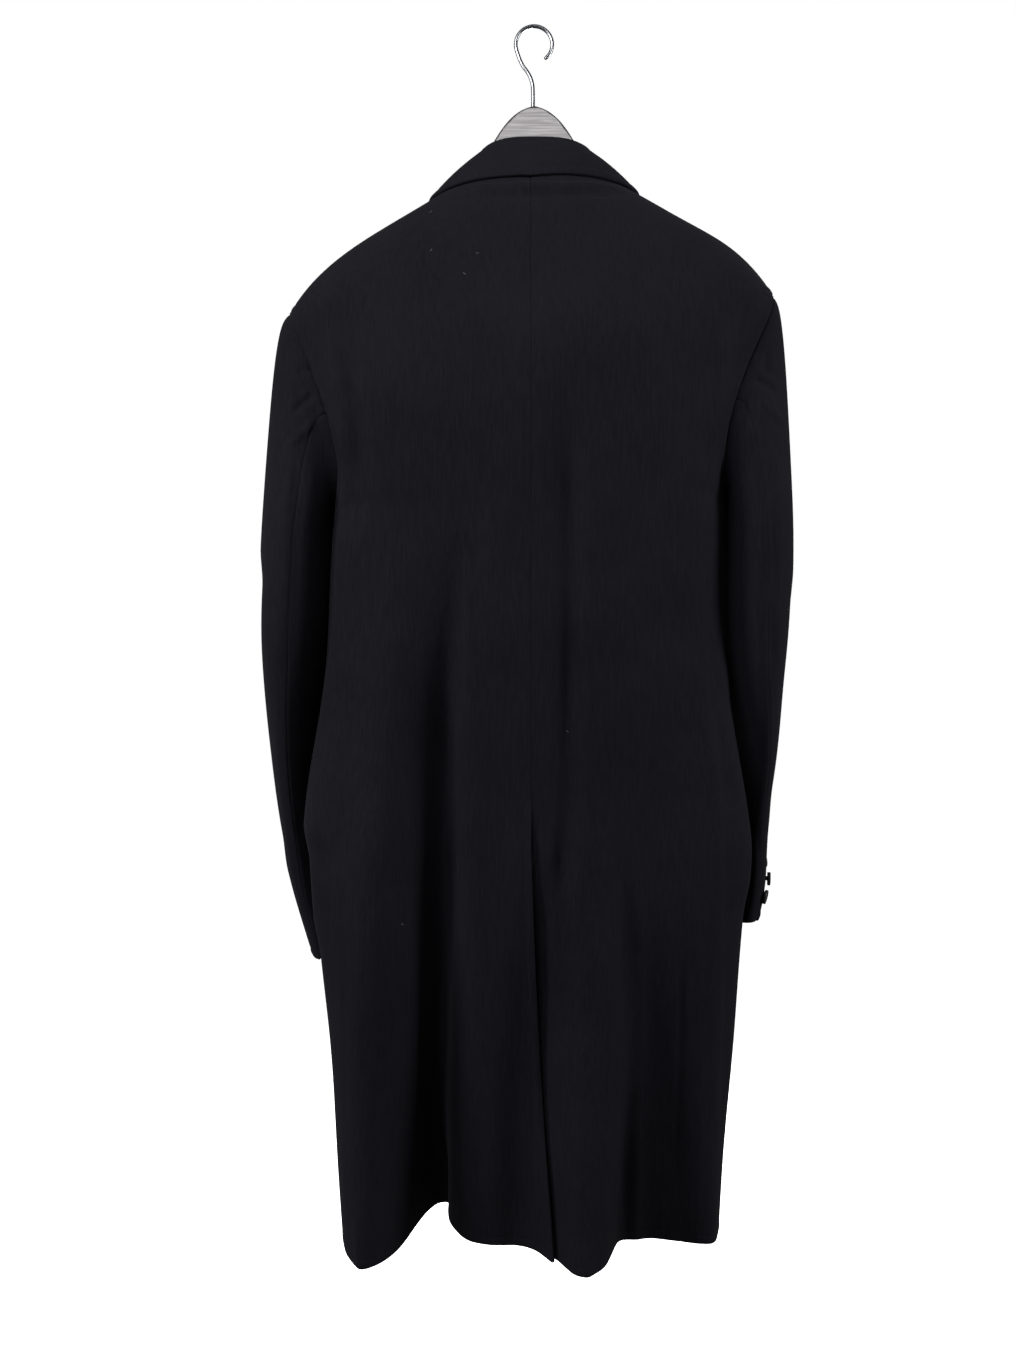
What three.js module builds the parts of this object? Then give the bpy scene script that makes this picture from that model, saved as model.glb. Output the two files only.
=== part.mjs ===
// A man's knee-length overcoat in black napped wool, hanging on a wooden hanger.
//
// Frame: millimetres, +Z up. The coat's front faces -Y, its back +Y, and the wearer's left is +X.
// The origin is the inside of the hook's crown, where a rail carries the hanger.
//
// Each cloth piece is a thin closed wall: a grid of points on its outer skin, the same grid moved
// in by the cloth's thickness, and rims between them. Grid rows run across the body and are
// stacked from the hem up to the shoulder.
import * as THREE from 'three';

// ---------------------------------------------------------------- driving sizes, in millimetres
const cloth = 2.6;             // napped coating with its interlining and lining pressed together
const seamGap = 0.3;           // left between two pieces that a seam joins
const angledGap = 0.4;         // the same, where their rims meet at an angle
const layerGap = 0.8;          // between a piece and the panel that it lies on
const hemZ = -1183;
const neckZ = -160;            // where the collar is sewn to the back
const ridgeY = -3;             // the shoulder seam lies this far in front of the hook
const squareBack = 3.5;        // how square the body's section is behind and in front
const squareFront = 2.3;
const shoulderRoll = { back: 62, front: 58 };   // height over which the shoulder rounds over
const sides = { left: 1, right: -1 };

// The body, section by section: half widths, depths behind and in front, and y of the side seam.
const bodySections = [
  { z: -1190, left: 188, right: 182, back: 82, front: 122, sideY: 18 },
  { z: -1132, left: 193, right: 187, back: 82, front: 122, sideY: 20 },
  { z: -1052, left: 201, right: 193, back: 84, front: 121, sideY: 20 },
  { z: -972, left: 209, right: 200, back: 87, front: 119, sideY: 19 },
  { z: -872, left: 217, right: 210, back: 90, front: 116, sideY: 18 },
  { z: -812, left: 220, right: 213, back: 91, front: 113, sideY: 17 },
  { z: -752, left: 213, right: 205, back: 90, front: 110, sideY: 15 },
  { z: -692, left: 205, right: 194, back: 88, front: 107, sideY: 10 },
  { z: -612, left: 197, right: 185, back: 88, front: 106, sideY: 4 },
  { z: -490, left: 191, right: 185, back: 94, front: 106, sideY: -5 },
  { z: -442, left: 197, right: 189, back: 95, front: 102, sideY: -6 },
  { z: -387, left: 217, right: 204, back: 93, front: 95, sideY: -6 },
  { z: -333, left: 231, right: 221, back: 89, front: 86, sideY: -5 },
  { z: -285, left: 248, right: 239, back: 82, front: 76, sideY: -5 },
  { z: -200, left: 256, right: 250, back: 69, front: 62, sideY: -5 },
  { z: -150, left: 258, right: 252, back: 60, front: 52, sideY: -5 },
];

// The shoulders' ridge, from the neck outwards. The coat hangs 9 mm higher on its right.
const ridges = {
  left: [
    { x: 0, z: -116 }, { x: 78, z: -161 }, { x: 102, z: -176 }, { x: 133, z: -194 },
    { x: 162, z: -211 }, { x: 189, z: -229 }, { x: 211, z: -247 }, { x: 228, z: -265 },
    { x: 243, z: -285 }, { x: 249, z: -296 },
  ],
  right: [
    { x: 0, z: -114 }, { x: 78, z: -156 }, { x: 114, z: -176 }, { x: 145, z: -194 },
    { x: 178, z: -211 }, { x: 205, z: -229 }, { x: 222, z: -247 }, { x: 237, z: -265 },
    { x: 246, z: -285 }, { x: 250, z: -296 },
  ],
};
const neckPointX = 78;
const shoulderPointX = { left: 243, right: 239 };
const underarmZ = { left: -490, right: -478 };

// The armhole, from the shoulder point (0) down to the underarm (1): where its edge lies round the
// section behind and in front, in degrees from the body's centre line to its side seam.
const armhole = [
  { down: 0, back: 75, front: 75 },
  { down: 0.018, back: 74.5, front: 74.5 },
  { down: 0.055, back: 74, front: 73.5 },
  { down: 0.11, back: 73, front: 72 },
  { down: 0.19, back: 71.5, front: 69 },
  { down: 0.29, back: 69, front: 65 },
  { down: 0.41, back: 65.5, front: 60 },
  { down: 0.54, back: 63, front: 57 },
  { down: 0.67, back: 63, front: 57 },
  { down: 0.79, back: 67, front: 62 },
  { down: 0.89, back: 74, front: 71 },
  { down: 0.96, back: 82, front: 81 },
  { down: 1, back: 90, front: 90 },
];

// Folds of the back, each from the height where it starts down to the hem. xStart and xHem are its
// middle, toLeft and toRight its half widths, and depth is how far it stands out at the hem; less
// than 0 is a valley, whose hem is lifted. A growth over 1 starts gently, and a side's top under 1 is
// broad and flat.
const backFolds = [
  { name: 'left ridge', start: -520, xStart: 140, xHem: 160, toLeft: 52, toRight: 52,
    depth: 68, growth: 1.7, lift: 0, topLeft: 0.62, topRight: 0.62 },
  { name: 'left valley', start: -540, xStart: 76, xHem: 102, toLeft: 34, toRight: 46,
    depth: -76, growth: 1.35, lift: 9, topLeft: 1, topRight: 1 },
  { name: 'lobe at the vent', start: -700, xStart: -84, xHem: -43, toLeft: 50, toRight: 32,
    depth: 69, growth: 1.5, lift: 0, topLeft: 0.65, topRight: 0.4 },
  { name: 'right valley', start: -760, xStart: -100, xHem: -108, toLeft: 34, toRight: 30,
    depth: -15, growth: 1, lift: 0, topLeft: 1, topRight: 1 },
  { name: 'right ridge', start: -760, xStart: -150, xHem: -165, toLeft: 24, toRight: 30,
    depth: 22, growth: 1, lift: 0, topLeft: 1, topRight: 1 },
];
// Folds of the front, which hangs more plainly.
const frontFolds = [
  { name: 'left ridge', start: -760, xStart: 128, xHem: 140, toLeft: 40, toRight: 40,
    depth: 24, growth: 1.3, lift: 0, topLeft: 1, topRight: 1 },
  { name: 'left valley', start: -800, xStart: 78, xHem: 84, toLeft: 30, toRight: 36,
    depth: -20, growth: 1.3, lift: 0, topLeft: 1, topRight: 1 },
  { name: 'right valley', start: -780, xStart: -92, xHem: -98, toLeft: 34, toRight: 30,
    depth: -18, growth: 1.3, lift: 0, topLeft: 1, topRight: 1 },
  { name: 'right ridge', start: -740, xStart: -136, xHem: -146, toLeft: 38, toRight: 34,
    depth: 20, growth: 1.3, lift: 0, topLeft: 1, topRight: 1 },
];

const foldsEnd = 1.25;         // folds keep their full depth to where 1 / this of the section is left

// Centre back: the seam, and below it the vent, whose left side laps over the right.
const ventTop = -812;
const seamX = 4;
const ventHemX = -15;
const ventLean = 1.3;          // over 1, the vent's edge leans more towards the hem
const underlap = 38;
const ventDrop = cloth + 2.2;  // the underlap lies this far inside
const ventOpens = 12;          // the underlap starts this far below the vent's top
const ventSinks = 8;           // and the right side sinks from this far above it
const sunkWidth = 16;          // x from the vent's line to where the right side is back up

// Centre front: left over right, with the lapels' roll line above the break.
const frontLap = 20;
const lapFades = 60;           // x where the right front has come back up to the left one's level
const lapShare = 0.12;         // share of a row's points that lies past the centre line
const breakZ = -505;
const rollTop = { x: 62, z: -196 };
const rollCurve = 0.92;        // under 1, the roll line bows outwards
const rollsCrossZ = -425;      // above this the two roll lines have parted
const rightLapelZ = -412;      // the right lapel shows from here up

// The sleeves as free tubes below the armhole: middle, half sizes, and how far the seams turn.
const sleeveSections = {
  left: [
    { z: -512, x: 234.5, y: -12, halfWidth: 38.5, halfDepth: 78, turn: 0 },
    { z: -560, x: 237, y: -11, halfWidth: 37.5, halfDepth: 77, turn: 0 },
    { z: -606, x: 238.5, y: -12, halfWidth: 37, halfDepth: 76, turn: 0 },
    { z: -652, x: 240, y: -16, halfWidth: 34, halfDepth: 74, turn: 0 },
    { z: -693, x: 242, y: -23, halfWidth: 30.5, halfDepth: 72, turn: 0 },
    { z: -735, x: 242.7, y: -36, halfWidth: 27.5, halfDepth: 71, turn: 0 },
    { z: -777, x: 242.5, y: -55, halfWidth: 25, halfDepth: 70, turn: 0 },
    { z: -820, x: 239, y: -72, halfWidth: 23, halfDepth: 69, turn: 0 },
    { z: -865, x: 233.5, y: -88, halfWidth: 21.5, halfDepth: 68, turn: 8 },
    { z: -910, x: 223.5, y: -100, halfWidth: 20.5, halfDepth: 67, turn: 13 },
    { z: -941, x: 216, y: -106, halfWidth: 20, halfDepth: 66, turn: 16 },
  ],
  right: [
    { z: -500, x: 224, y: -12, halfWidth: 34.5, halfDepth: 79, turn: 0 },
    { z: -556, x: 223.5, y: -12, halfWidth: 34.5, halfDepth: 78, turn: 2 },
    { z: -611, x: 223, y: -14, halfWidth: 33.5, halfDepth: 77, turn: 5 },
    { z: -652, x: 223, y: -20, halfWidth: 30.5, halfDepth: 75, turn: 8 },
    { z: -693, x: 225.5, y: -30, halfWidth: 26.5, halfDepth: 73, turn: 12 },
    { z: -735, x: 227.5, y: -46, halfWidth: 22.5, halfDepth: 72, turn: 17 },
    { z: -778, x: 226.5, y: -68, halfWidth: 20.5, halfDepth: 70, turn: 23 },
    { z: -822, x: 226.5, y: -90, halfWidth: 20.5, halfDepth: 69, turn: 30 },
    { z: -867, x: 229, y: -106, halfWidth: 21, halfDepth: 67, turn: 36 },
    { z: -904, x: 222.5, y: -112, halfWidth: 21, halfDepth: 66, turn: 40 },
  ],
};
// Rings of the sleeve head, as parts of the way from the armhole to the first free section.
const headRings = [0.03, 0.1, 0.21, 0.36, 0.55, 0.77];
const headSwell = { x: 0.42, y: 0.6 };   // under 1, the head is full near the armhole
const hindSeam = 100;           // where the two seams run, in degrees back from the sleeve's outer side
const foreSeam = -120;
const underarmStep = 4;        // the sleeve stands this far off the body where it turns down

// The collar from centre back (0) to its front ends (1): its fold line, and the leaf's edge, which
// lies on the shoulder at edgeRoll degrees behind (or in front of) the ridge.
const collarSections = [
  { along: 0, foldX: 0, foldY: 42, foldZ: -130, edgeX: 0, edgeRoll: 85 },
  { along: 0.2, foldX: 24, foldY: 40, foldZ: -130, edgeX: 42, edgeRoll: 61 },
  { along: 0.4, foldX: 44, foldY: 29, foldZ: -132, edgeX: 80, edgeRoll: 36 },
  { along: 0.55, foldX: 55, foldY: 13, foldZ: -137, edgeX: 98, edgeRoll: 20 },
  { along: 0.7, foldX: 61, foldY: -8, foldZ: -145, edgeX: 106, edgeRoll: -3 },
  { along: 0.85, foldX: 63, foldY: -33, foldZ: -156, edgeX: 106, edgeRoll: -26 },
  { along: 1, foldX: 62, foldY: -55, foldZ: -178, edgeX: 99, edgeRoll: -50 },
];
const collarShift = -1.5;                         // the collar sits a little to the wearer's right
const neckPicks = [78, 72, 63, 52, 40, 27, 14];   // |x| of the collar's columns behind the neck point
const foldBend = 1.5;                             // inside radius of a pressed fold
const bendAngles = [0, 45, 90, 135, 180];
const leafRows = [0.3, 0.65, 1];
const leafSwell = { out: 3, up: 2 };              // the leaf's fullness between fold and edge

// The lapels: how far each reaches out from the roll line, by height.
const lapelSections = [
  { z: -500, width: 5 }, { z: -440, width: 34 }, { z: -370, width: 62 }, { z: -300, width: 86 },
  { z: -268, width: 95 }, { z: -250, width: 74 }, { z: -225, width: 36 }, { z: -196, width: 10 },
];
const lapelColumns = [0.3, 0.65, 1];
const lapelGrows = 60;         // height over which the right lapel comes out from under the left
const lapelLeast = 0.12;

// The hanger: a flat shaped board, its head above the coat, and a wire hook.
const hangerThick = 14;
const hangerEnd = 218;                            // x of the arms' tips
const hangerUnder = cloth + 1.7;                  // the shoulders' skin to the arms' top, square to it
const hangerHead = [
  { x: 0, z: -80 }, { x: 9, z: -82.5 }, { x: 17, z: -87 }, { x: 24.5, z: -93.5 },
  { x: 31, z: -101.5 }, { x: 36.5, z: -109.5 }, { x: 45, z: -124 }, { x: 55, z: -144 },
  { x: 64, z: -160 },
];
const hangerArms = [78, 100, 125, 150, 175, 200]; // x where the arms' top follows the shoulders
const hangerDepth = [                             // the board's depth below its top
  { x: 0, deep: 53.3 }, { x: 60, deep: 31.7 }, { x: 120, deep: 27.4 }, { x: 218, deep: 14.4 },
];
const hangerMiddleZ = -150;                       // its lower edge is measured down from here at x 0
const hangerBevel = 1.5;
const wire = 3.8;                                 // the hook's wire, across
const hookInside = 16.5;                          // its loop's inner radius
const hookTurn = { tip: 232, neck: -22 };         // its two ends, in degrees up from the wearer's left
const hookNeck = [                                // the wire's way from the loop into the head
  { x: 12, z: -36.5 }, { x: 5, z: -46.5 }, { x: 1.6, z: -56 }, { x: 1, z: -68 },
];
const hookFoot = { x: 1, z: -79.6 };

// Buttons: horn, sewn through four holes.
const frontButton = { radius: 12.5, thick: 4, rim: 1.6, facets: 16 };
const cuffButton = { radius: 7.5, thick: 3, rim: 1, facets: 10 };
const frontButtonZ = [-530, -650, -770];
// Up from the sleeve's hem; for each side, the turn in degrees behind the sleeve's outer side, and how
// far the button's back stands off the sleeve's true curve. The left arm hangs twisted forwards, and
// the right cuff's opening leans outwards as it goes up.
const cuffButtons = [
  { up: 26, left: { turn: -22, off: 0.25 }, right: { turn: 50, off: -0.5 } },
  { up: 42, left: { turn: -20, off: 0.2 }, right: { turn: 22, off: 0.1 } },
  { up: 58, left: { turn: -18, off: -0.15 }, right: { turn: -4, off: -0.1 } },
];

// ---------------------------------------------------------------- small tools
const vec = (x, y, z) => new THREE.Vector3(x, y, z);
const mix = THREE.MathUtils.lerp;
const clamp = THREE.MathUtils.clamp;
const radians = THREE.MathUtils.degToRad;
const bell = (distance, reach) => (Math.abs(distance) < reach
  ? Math.cos((Math.PI / 2) * (distance / reach)) ** 2 : 0);
const steps = (count) => Array.from({ length: count + 1 }, (_, i) => i / count);

// Reads a column of a table at a place between its rows, along a smooth curve through them.
function readTable(table, key, at, column) {
  const rows = [...table].sort((a, b) => a[key] - b[key]);
  const last = rows.length - 1;
  let i = rows.findIndex((row) => row[key] > at) - 1;
  if (i < 0) i = at < rows[0][key] ? 0 : last - 1;
  const slope = (k) => {
    const low = rows[Math.max(k - 1, 0)];
    const high = rows[Math.min(k + 1, last)];
    return (high[column] - low[column]) / (high[key] - low[key]);
  };
  const [a, b] = [rows[i], rows[i + 1]];
  const span = b[key] - a[key];
  if (at <= rows[0][key]) return a[column] + slope(0) * (at - a[key]);
  if (at >= rows[last][key]) return b[column] + slope(last) * (at - b[key]);
  const t = (at - a[key]) / span;
  const t2 = t * t;
  const t3 = t2 * t;
  return (2 * t3 - 3 * t2 + 1) * a[column] + (t3 - 2 * t2 + t) * span * slope(i)
    + (3 * t2 - 2 * t3) * b[column] + (t3 - t2) * span * slope(i + 1);
}

// How far the folds move the cloth at a place, and how far they lift its hem.
function foldDepth(folds, x, z) {
  let depth = 0;
  let lift = 0;
  for (const fold of folds) {
    const down = clamp((fold.start - z) / (fold.start - hemZ), 0, 1);
    const middle = mix(fold.xStart, fold.xHem, down);
    const [reach, top] = x > middle ? [fold.toLeft, fold.topLeft] : [fold.toRight, fold.topRight];
    const across = bell(x - middle, reach) ** top;
    const shape = across * down ** fold.growth;
    depth += fold.depth * shape;
    lift += fold.lift * shape * down ** 4;
  }
  return { depth, lift };
}

const ridgeZ = (side, x) => readTable(ridges[side], 'x', Math.abs(x), 'z');

// A point of the body's outer skin, by the angle round its section and its height.
function bodyPoint(side, face, angle, z) {
  const row = (column) => readTable(bodySections, 'z', z, column);
  const square = face === 'back' ? squareBack : squareFront;
  const turn = radians(angle);
  const x = sides[side] * row(side) * Math.max(Math.sin(turn), 0) ** (2 / square);
  return skinPoint(side, face, x, z, Math.max(Math.cos(turn), 0) ** (2 / square));
}

// The same, by x near the centre line, where the section is flat. Part is how much of the
// section's depth is reached there.
function skinPoint(side, face, x, z, part = 1) {
  const row = (column) => readTable(bodySections, 'z', z, column);
  const sideY = row('sideY');
  const deep = face === 'back' ? row('back') - sideY : -row('front') - sideY;
  const under = clamp((ridgeZ(side, x) - z) / shoulderRoll[face], 0, 1);
  const round = Math.sqrt(1 - (1 - under) ** 2);
  const fold = foldDepth(face === 'back' ? backFolds : frontFolds, x, z);
  const outward = (face === 'back' ? 1 : -1) * fold.depth * Math.min(1, part * foldsEnd);
  const y = ridgeY + (sideY + deep * part - ridgeY) * round + outward;
  return vec(x, y, z + fold.lift);
}

// ---------------------------------------------------------------- walls
// Outward normals of a grid. handed is 1 where rows x columns give the outward side, else -1.
function gridNormals(grid, handed, closed = false) {
  const rows = grid.length;
  const cols = grid[0].length;
  return grid.map((line, r) => line.map((_, c) => {
    const up = grid[Math.min(r + 1, rows - 1)][c].clone().sub(grid[Math.max(r - 1, 0)][c]);
    const next = closed ? (c + 1) % cols : Math.min(c + 1, cols - 1);
    const before = closed ? (c + cols - 1) % cols : Math.max(c - 1, 0);
    return up.cross(line[next].clone().sub(line[before])).multiplyScalar(handed).normalize();
  }));
}

const innerSkin = (grid, normals, thickness = cloth) => grid.map((line, r) => line.map(
  (point, c) => point.clone().addScaledVector(normals[r][c], -thickness)));

// Closes an outer and an inner grid into one wall, with rims round all four edges.
function wall(outer, inner) {
  const rows = outer.length;
  const cols = outer[0].length;
  const positions = [...outer.flat(), ...inner.flat()].flatMap((p) => [p.x, p.y, p.z]);
  const faces = [];
  const at = (skin, r, c) => skin * rows * cols + r * cols + c;
  const quad = (a, b, c, d) => faces.push(a, b, c, a, c, d);
  for (let r = 0; r < rows - 1; r += 1) {
    for (let c = 0; c < cols - 1; c += 1) {
      quad(at(0, r, c), at(0, r, c + 1), at(0, r + 1, c + 1), at(0, r + 1, c));
      quad(at(1, r, c), at(1, r + 1, c), at(1, r + 1, c + 1), at(1, r, c + 1));
    }
  }
  for (let c = 0; c < cols - 1; c += 1) {
    quad(at(0, 0, c), at(1, 0, c), at(1, 0, c + 1), at(0, 0, c + 1));
    quad(at(0, rows - 1, c), at(0, rows - 1, c + 1), at(1, rows - 1, c + 1), at(1, rows - 1, c));
  }
  for (let r = 0; r < rows - 1; r += 1) {
    quad(at(0, r, 0), at(0, r + 1, 0), at(1, r + 1, 0), at(1, r, 0));
    quad(at(0, r, cols - 1), at(1, r, cols - 1), at(1, r + 1, cols - 1), at(0, r + 1, cols - 1));
  }
  return facingOut(positions, faces);
}

// Makes the geometry, with the faces turned to point out whichever way the grid ran.
function facingOut(positions, faces) {
  const corner = (i) => vec(...positions.slice(3 * i, 3 * i + 3));
  let volume = 0;
  for (let f = 0; f < faces.length; f += 3) {
    volume += corner(faces[f]).dot(corner(faces[f + 1]).cross(corner(faces[f + 2])));
  }
  if (volume < 0) faces.reverse();
  const geometry = new THREE.BufferGeometry();
  geometry.setAttribute('position', new THREE.Float32BufferAttribute(positions, 3));
  geometry.setIndex(faces);
  return geometry;
}

// Spreads points evenly along a curve that is given by a function of 0 to 1.
function evenly(curve, places) {
  const fine = steps(160).map((t) => curve(t));
  const lengths = [0];
  for (let i = 1; i < fine.length; i += 1) lengths.push(lengths[i - 1] + fine[i].distanceTo(fine[i - 1]));
  const total = lengths[lengths.length - 1];
  return places.map((place) => {
    const wanted = place * total;
    const i = clamp(lengths.findIndex((length) => length >= wanted), 1, fine.length - 1);
    const part = (wanted - lengths[i - 1]) / (lengths[i] - lengths[i - 1] || 1);
    return fine[i - 1].clone().lerp(fine[i], clamp(part, 0, 1));
  });
}

// ---------------------------------------------------------------- body panels
const hemToUnderarm = [0, 0.035, 0.08, 0.14, 0.205, 0.275, 0.35, 0.43, 0.512, 0.535, 0.6, 0.69, 0.79, 0.9];
const shoulderRows = [0.1, 0.24, 0.4, 0.57, 0.75, 0.89, 1];

// The rows of one half of the body. Each has its height at the centre line and at its outer edge,
// and the angle round the section where it ends.
function panelRows(side, face) {
  const low = underarmZ[side];
  const shoulderZ = ridgeZ(side, shoulderPointX[side]);
  const centreTop = face === 'back' ? neckZ : rollTop.z;
  const rows = hemToUnderarm.map((part) => {
    const z = mix(hemZ, low, part);
    return { centreZ: z, edgeZ: z, edge: 90 };
  });
  for (const place of [...armhole].reverse()) {
    const z = mix(shoulderZ, low, place.down);
    rows.push({ centreZ: z, edgeZ: z, edge: place[face], armhole: true });
  }
  const square = face === 'back' ? squareBack : squareFront;
  for (const part of shoulderRows) {
    const x = mix(shoulderPointX[side], neckPointX, part);
    const edgeZ = ridgeZ(side, x);
    const width = readTable(bodySections, 'z', edgeZ, side);
    const edge = THREE.MathUtils.radToDeg(Math.asin((x / width) ** (square / 2)));
    rows.push({ centreZ: mix(shoulderZ, centreTop, part), edgeZ, edge, seam: true });
  }
  // The armhole starts where its shoulder end meets the ridge.
  const top = rows.find((row) => row.armhole && row.edgeZ >= shoulderZ - 0.01);
  const width = readTable(bodySections, 'z', shoulderZ, side);
  top.edge = THREE.MathUtils.radToDeg(Math.asin((shoulderPointX[side] / width) ** (square / 2)));
  return rows;
}

// x of the centre back line: a straight seam, then the vent's edge leaning to the right.
const ventX = (z) => mix(seamX, ventHemX, clamp((ventTop - z) / (ventTop - hemZ), 0, 1) ** ventLean);

// x of the front edge on each side, then of the roll line above the break.
function frontEdgeX(side, z) {
  const up = clamp((z - breakZ) / (rollTop.z - breakZ), 0, 1);
  return sides[side] * mix(-frontLap, rollTop.x, up ** rollCurve);
}

// Points of a row from a given x near the centre out to the row's edge.
function rowCurve(side, face, row, startX) {
  const width = readTable(bodySections, 'z', row.centreZ, side);
  const square = face === 'back' ? squareBack : squareFront;
  const mirror = sides[side];
  const start = THREE.MathUtils.radToDeg(Math.asin(clamp(mirror * startX / width, 0, 1) ** (square / 2)));
  return (t) => {
    const laps = mirror * startX < 0;
    if (laps && t < lapShare) return skinPoint(side, face, mix(startX, 0, t / lapShare), row.centreZ);
    const s = laps ? (t - lapShare) / (1 - lapShare) : t;
    const angle = mix(start, row.edge, s ** 1.5);
    return bodyPoint(side, face, angle, mix(row.centreZ, row.edgeZ, s ** 2));
  };
}

const backColumns = steps(19);
const frontColumns = steps(10);
const underlapColumns = [1, 0.67, 0.33, 0];
const underlapStart = 3;       // x from the vent's line to the last sunk column
const raisedColumns = steps(16);

// A point of the back at a given x, moved in by some depth along the cloth's own normal.
function sunkPoint(side, x, z, depth) {
  const point = skinPoint(side, 'back', x, z);
  const along = skinPoint(side, 'back', x + 1, z).sub(skinPoint(side, 'back', x - 1, z));
  return point.addScaledVector(vec(along.y, -along.x, 0).normalize(), depth);
}

// A back panel's outer grid. Below the vent's top the right one has an underlap, and lies lower
// by the vent's drop up to just past the left one's edge.
function backGrid(side) {
  const half = seamGap / 2;
  return panelRows(side, 'back').map((row) => {
    const line = ventX(row.centreZ);
    if (side === 'left') return evenly(rowCurve(side, 'back', row, line + half), backColumns);
    const open = row.centreZ < ventTop - ventOpens;
    const step = row.centreZ < ventTop + ventSinks ? ventDrop : 0;
    const inner = open ? line + underlap : line - half;
    const sunk = underlapColumns.map(
      (part) => sunkPoint(side, mix(line - underlapStart, inner, part), row.centreZ, step));
    return [...sunk, ...evenly(rowCurve(side, 'back', row, line - sunkWidth), raisedColumns)];
  });
}

function frontGrid(side) {
  return panelRows(side, 'front').map((row) => {
    const startX = frontEdgeX(side, row.centreZ);
    const under = side === 'right' && row.centreZ < rollsCrossZ ? cloth + layerGap : 0;
    const line = evenly(rowCurve(side, 'front', row, startX), frontColumns);
    return line.map((point) => {
      const lapped = clamp(1 - (sides[side] * point.x) / lapFades, 0, 1);
      return vec(point.x, point.y + under * Math.min(1, 1.6 * lapped), point.z);
    });
  });
}

const bodyGrids = {};
for (const side of Object.keys(sides)) {
  const back = backGrid(side);
  const front = frontGrid(side);
  // One row at a time, the back and the front share their side and shoulder seams: both ends are
  // put on the same point, and share one normal, before each is drawn back by half a seam gap.
  const backNormals = gridNormals(back, sides[side]);
  const frontNormals = gridNormals(front, -sides[side]);
  const rows = panelRows(side, 'back');
  back.forEach((line, r) => {
    const b = line.length - 1;
    const f = front[r].length - 1;
    const isSeam = !rows[r].armhole || r === hemToUnderarm.length || rows[r + 1].seam;
    if (!isSeam) return;
    const shared = line[b].clone().add(front[r][f]).multiplyScalar(0.5);
    const across = line[b - 1].clone().sub(front[r][f - 1]).normalize();
    const along = back[Math.min(r + 1, back.length - 1)][b].clone().sub(back[Math.max(r - 1, 0)][b]);
    const normal = along.cross(across).multiplyScalar(-sides[side]).normalize();
    line[b] = shared.clone().addScaledVector(across, seamGap / 2);
    front[r][f] = shared.clone().addScaledVector(across, -seamGap / 2);
    backNormals[r][b] = normal;
    frontNormals[r][f] = normal;
  });
  bodyGrids[side] = {
    rows,
    back: { outer: back, inner: innerSkin(back, backNormals), normals: backNormals },
    front: { outer: front, inner: innerSkin(front, frontNormals), normals: frontNormals },
  };
}

// ---------------------------------------------------------------- sleeves
// The armhole as one loop, from the underarm up behind, over the shoulder and down in front.
function armholeLoop(side) {
  const { rows, back, front } = bodyGrids[side];
  const first = hemToUnderarm.length;
  const last = rows.findIndex((row) => row.seam) - 1;
  const end = (panel, skin, r) => panel[skin][r][panel[skin][r].length - 1].clone();
  const loop = [];
  const put = (outer, inner) => loop.push({ outer, inner });
  for (let r = first; r <= last; r += 1) put(end(back, 'outer', r), end(back, 'inner', r));
  for (let r = last; r >= first; r -= 1) put(end(front, 'outer', r), end(front, 'inner', r));
  // The two ends that share the shoulder point become one, and so do those at the underarm.
  const top = last - first;
  const joined = [...loop.slice(0, top), blend(loop[top], loop[top + 1]), ...loop.slice(top + 2, -1)];
  joined[0] = blend(loop[0], loop[loop.length - 1]);
  return { points: joined, shoulder: top };
}

const blend = (a, b) => ({
  outer: a.outer.clone().lerp(b.outer, 0.5),
  inner: a.inner.clone().lerp(b.inner, 0.5),
});

function sleeveGrids(side) {
  const mirror = sides[side];
  const { points: loop, shoulder } = armholeLoop(side);
  const count = loop.length;
  // Moves the loop off the body's edge, along the body's own skin.
  const away = loop.map((_, i) => {
    const tangent = loop[(i + 1) % count].outer.clone().sub(loop[(i + count - 1) % count].outer);
    const normal = loop[i].outer.clone().sub(loop[i].inner);
    return normal.cross(tangent).multiplyScalar(mirror).normalize();
  });
  const outer = [loop.map((point, i) => point.outer.clone().addScaledVector(away[i], angledGap))];
  const inner = [loop.map((point, i) => {
    const lifted = Math.max(away[i].z, 0) * (cloth - 0.4);
    return point.inner.clone().addScaledVector(away[i], angledGap + lifted);
  })];
  // Each column's angle round the tube: 180 at the underarm, 90 behind, 0 outside, -90 in front.
  const lengthTo = [0];
  for (let i = 1; i <= count; i += 1) {
    lengthTo.push(lengthTo[i - 1] + loop[i % count].outer.distanceTo(loop[i - 1].outer));
  }
  const angles = loop.map((_, i) => (i <= shoulder
    ? 180 * (1 - lengthTo[i] / lengthTo[shoulder])
    : -180 * ((lengthTo[i] - lengthTo[shoulder]) / (lengthTo[count] - lengthTo[shoulder]))));
  const table = sleeveSections[side];
  const ring = (section) => angles.map((angle) => {
    const turn = radians(angle - section.turn * Math.max(0, Math.cos(radians((angle - 70) / 1.6))));
    return vec(mirror * (section.x + section.halfWidth * Math.cos(turn)),
      section.y + section.halfDepth * Math.sin(turn), section.z);
  });
  const free = ring(table[0]);
  for (const part of headRings) {
    outer.push(outer[0].map((start, i) => {
      const offBody = loop[i].outer.clone().sub(loop[i].inner).setLength(
        underarmStep * Math.max(away[i].z, 0) * (1 - part));
      return vec(mix(start.x, free[i].x, part ** headSwell.x), mix(start.y, free[i].y, part ** headSwell.y),
        mix(start.z, free[i].z, part)).add(offBody);
    }));
  }
  for (const section of table) outer.push(ring(section));
  const normals = gridNormals(outer, -mirror, true);
  inner.push(...innerSkin(outer.slice(1), normals.slice(1)));
  return { outer, inner, angles };
}

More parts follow.
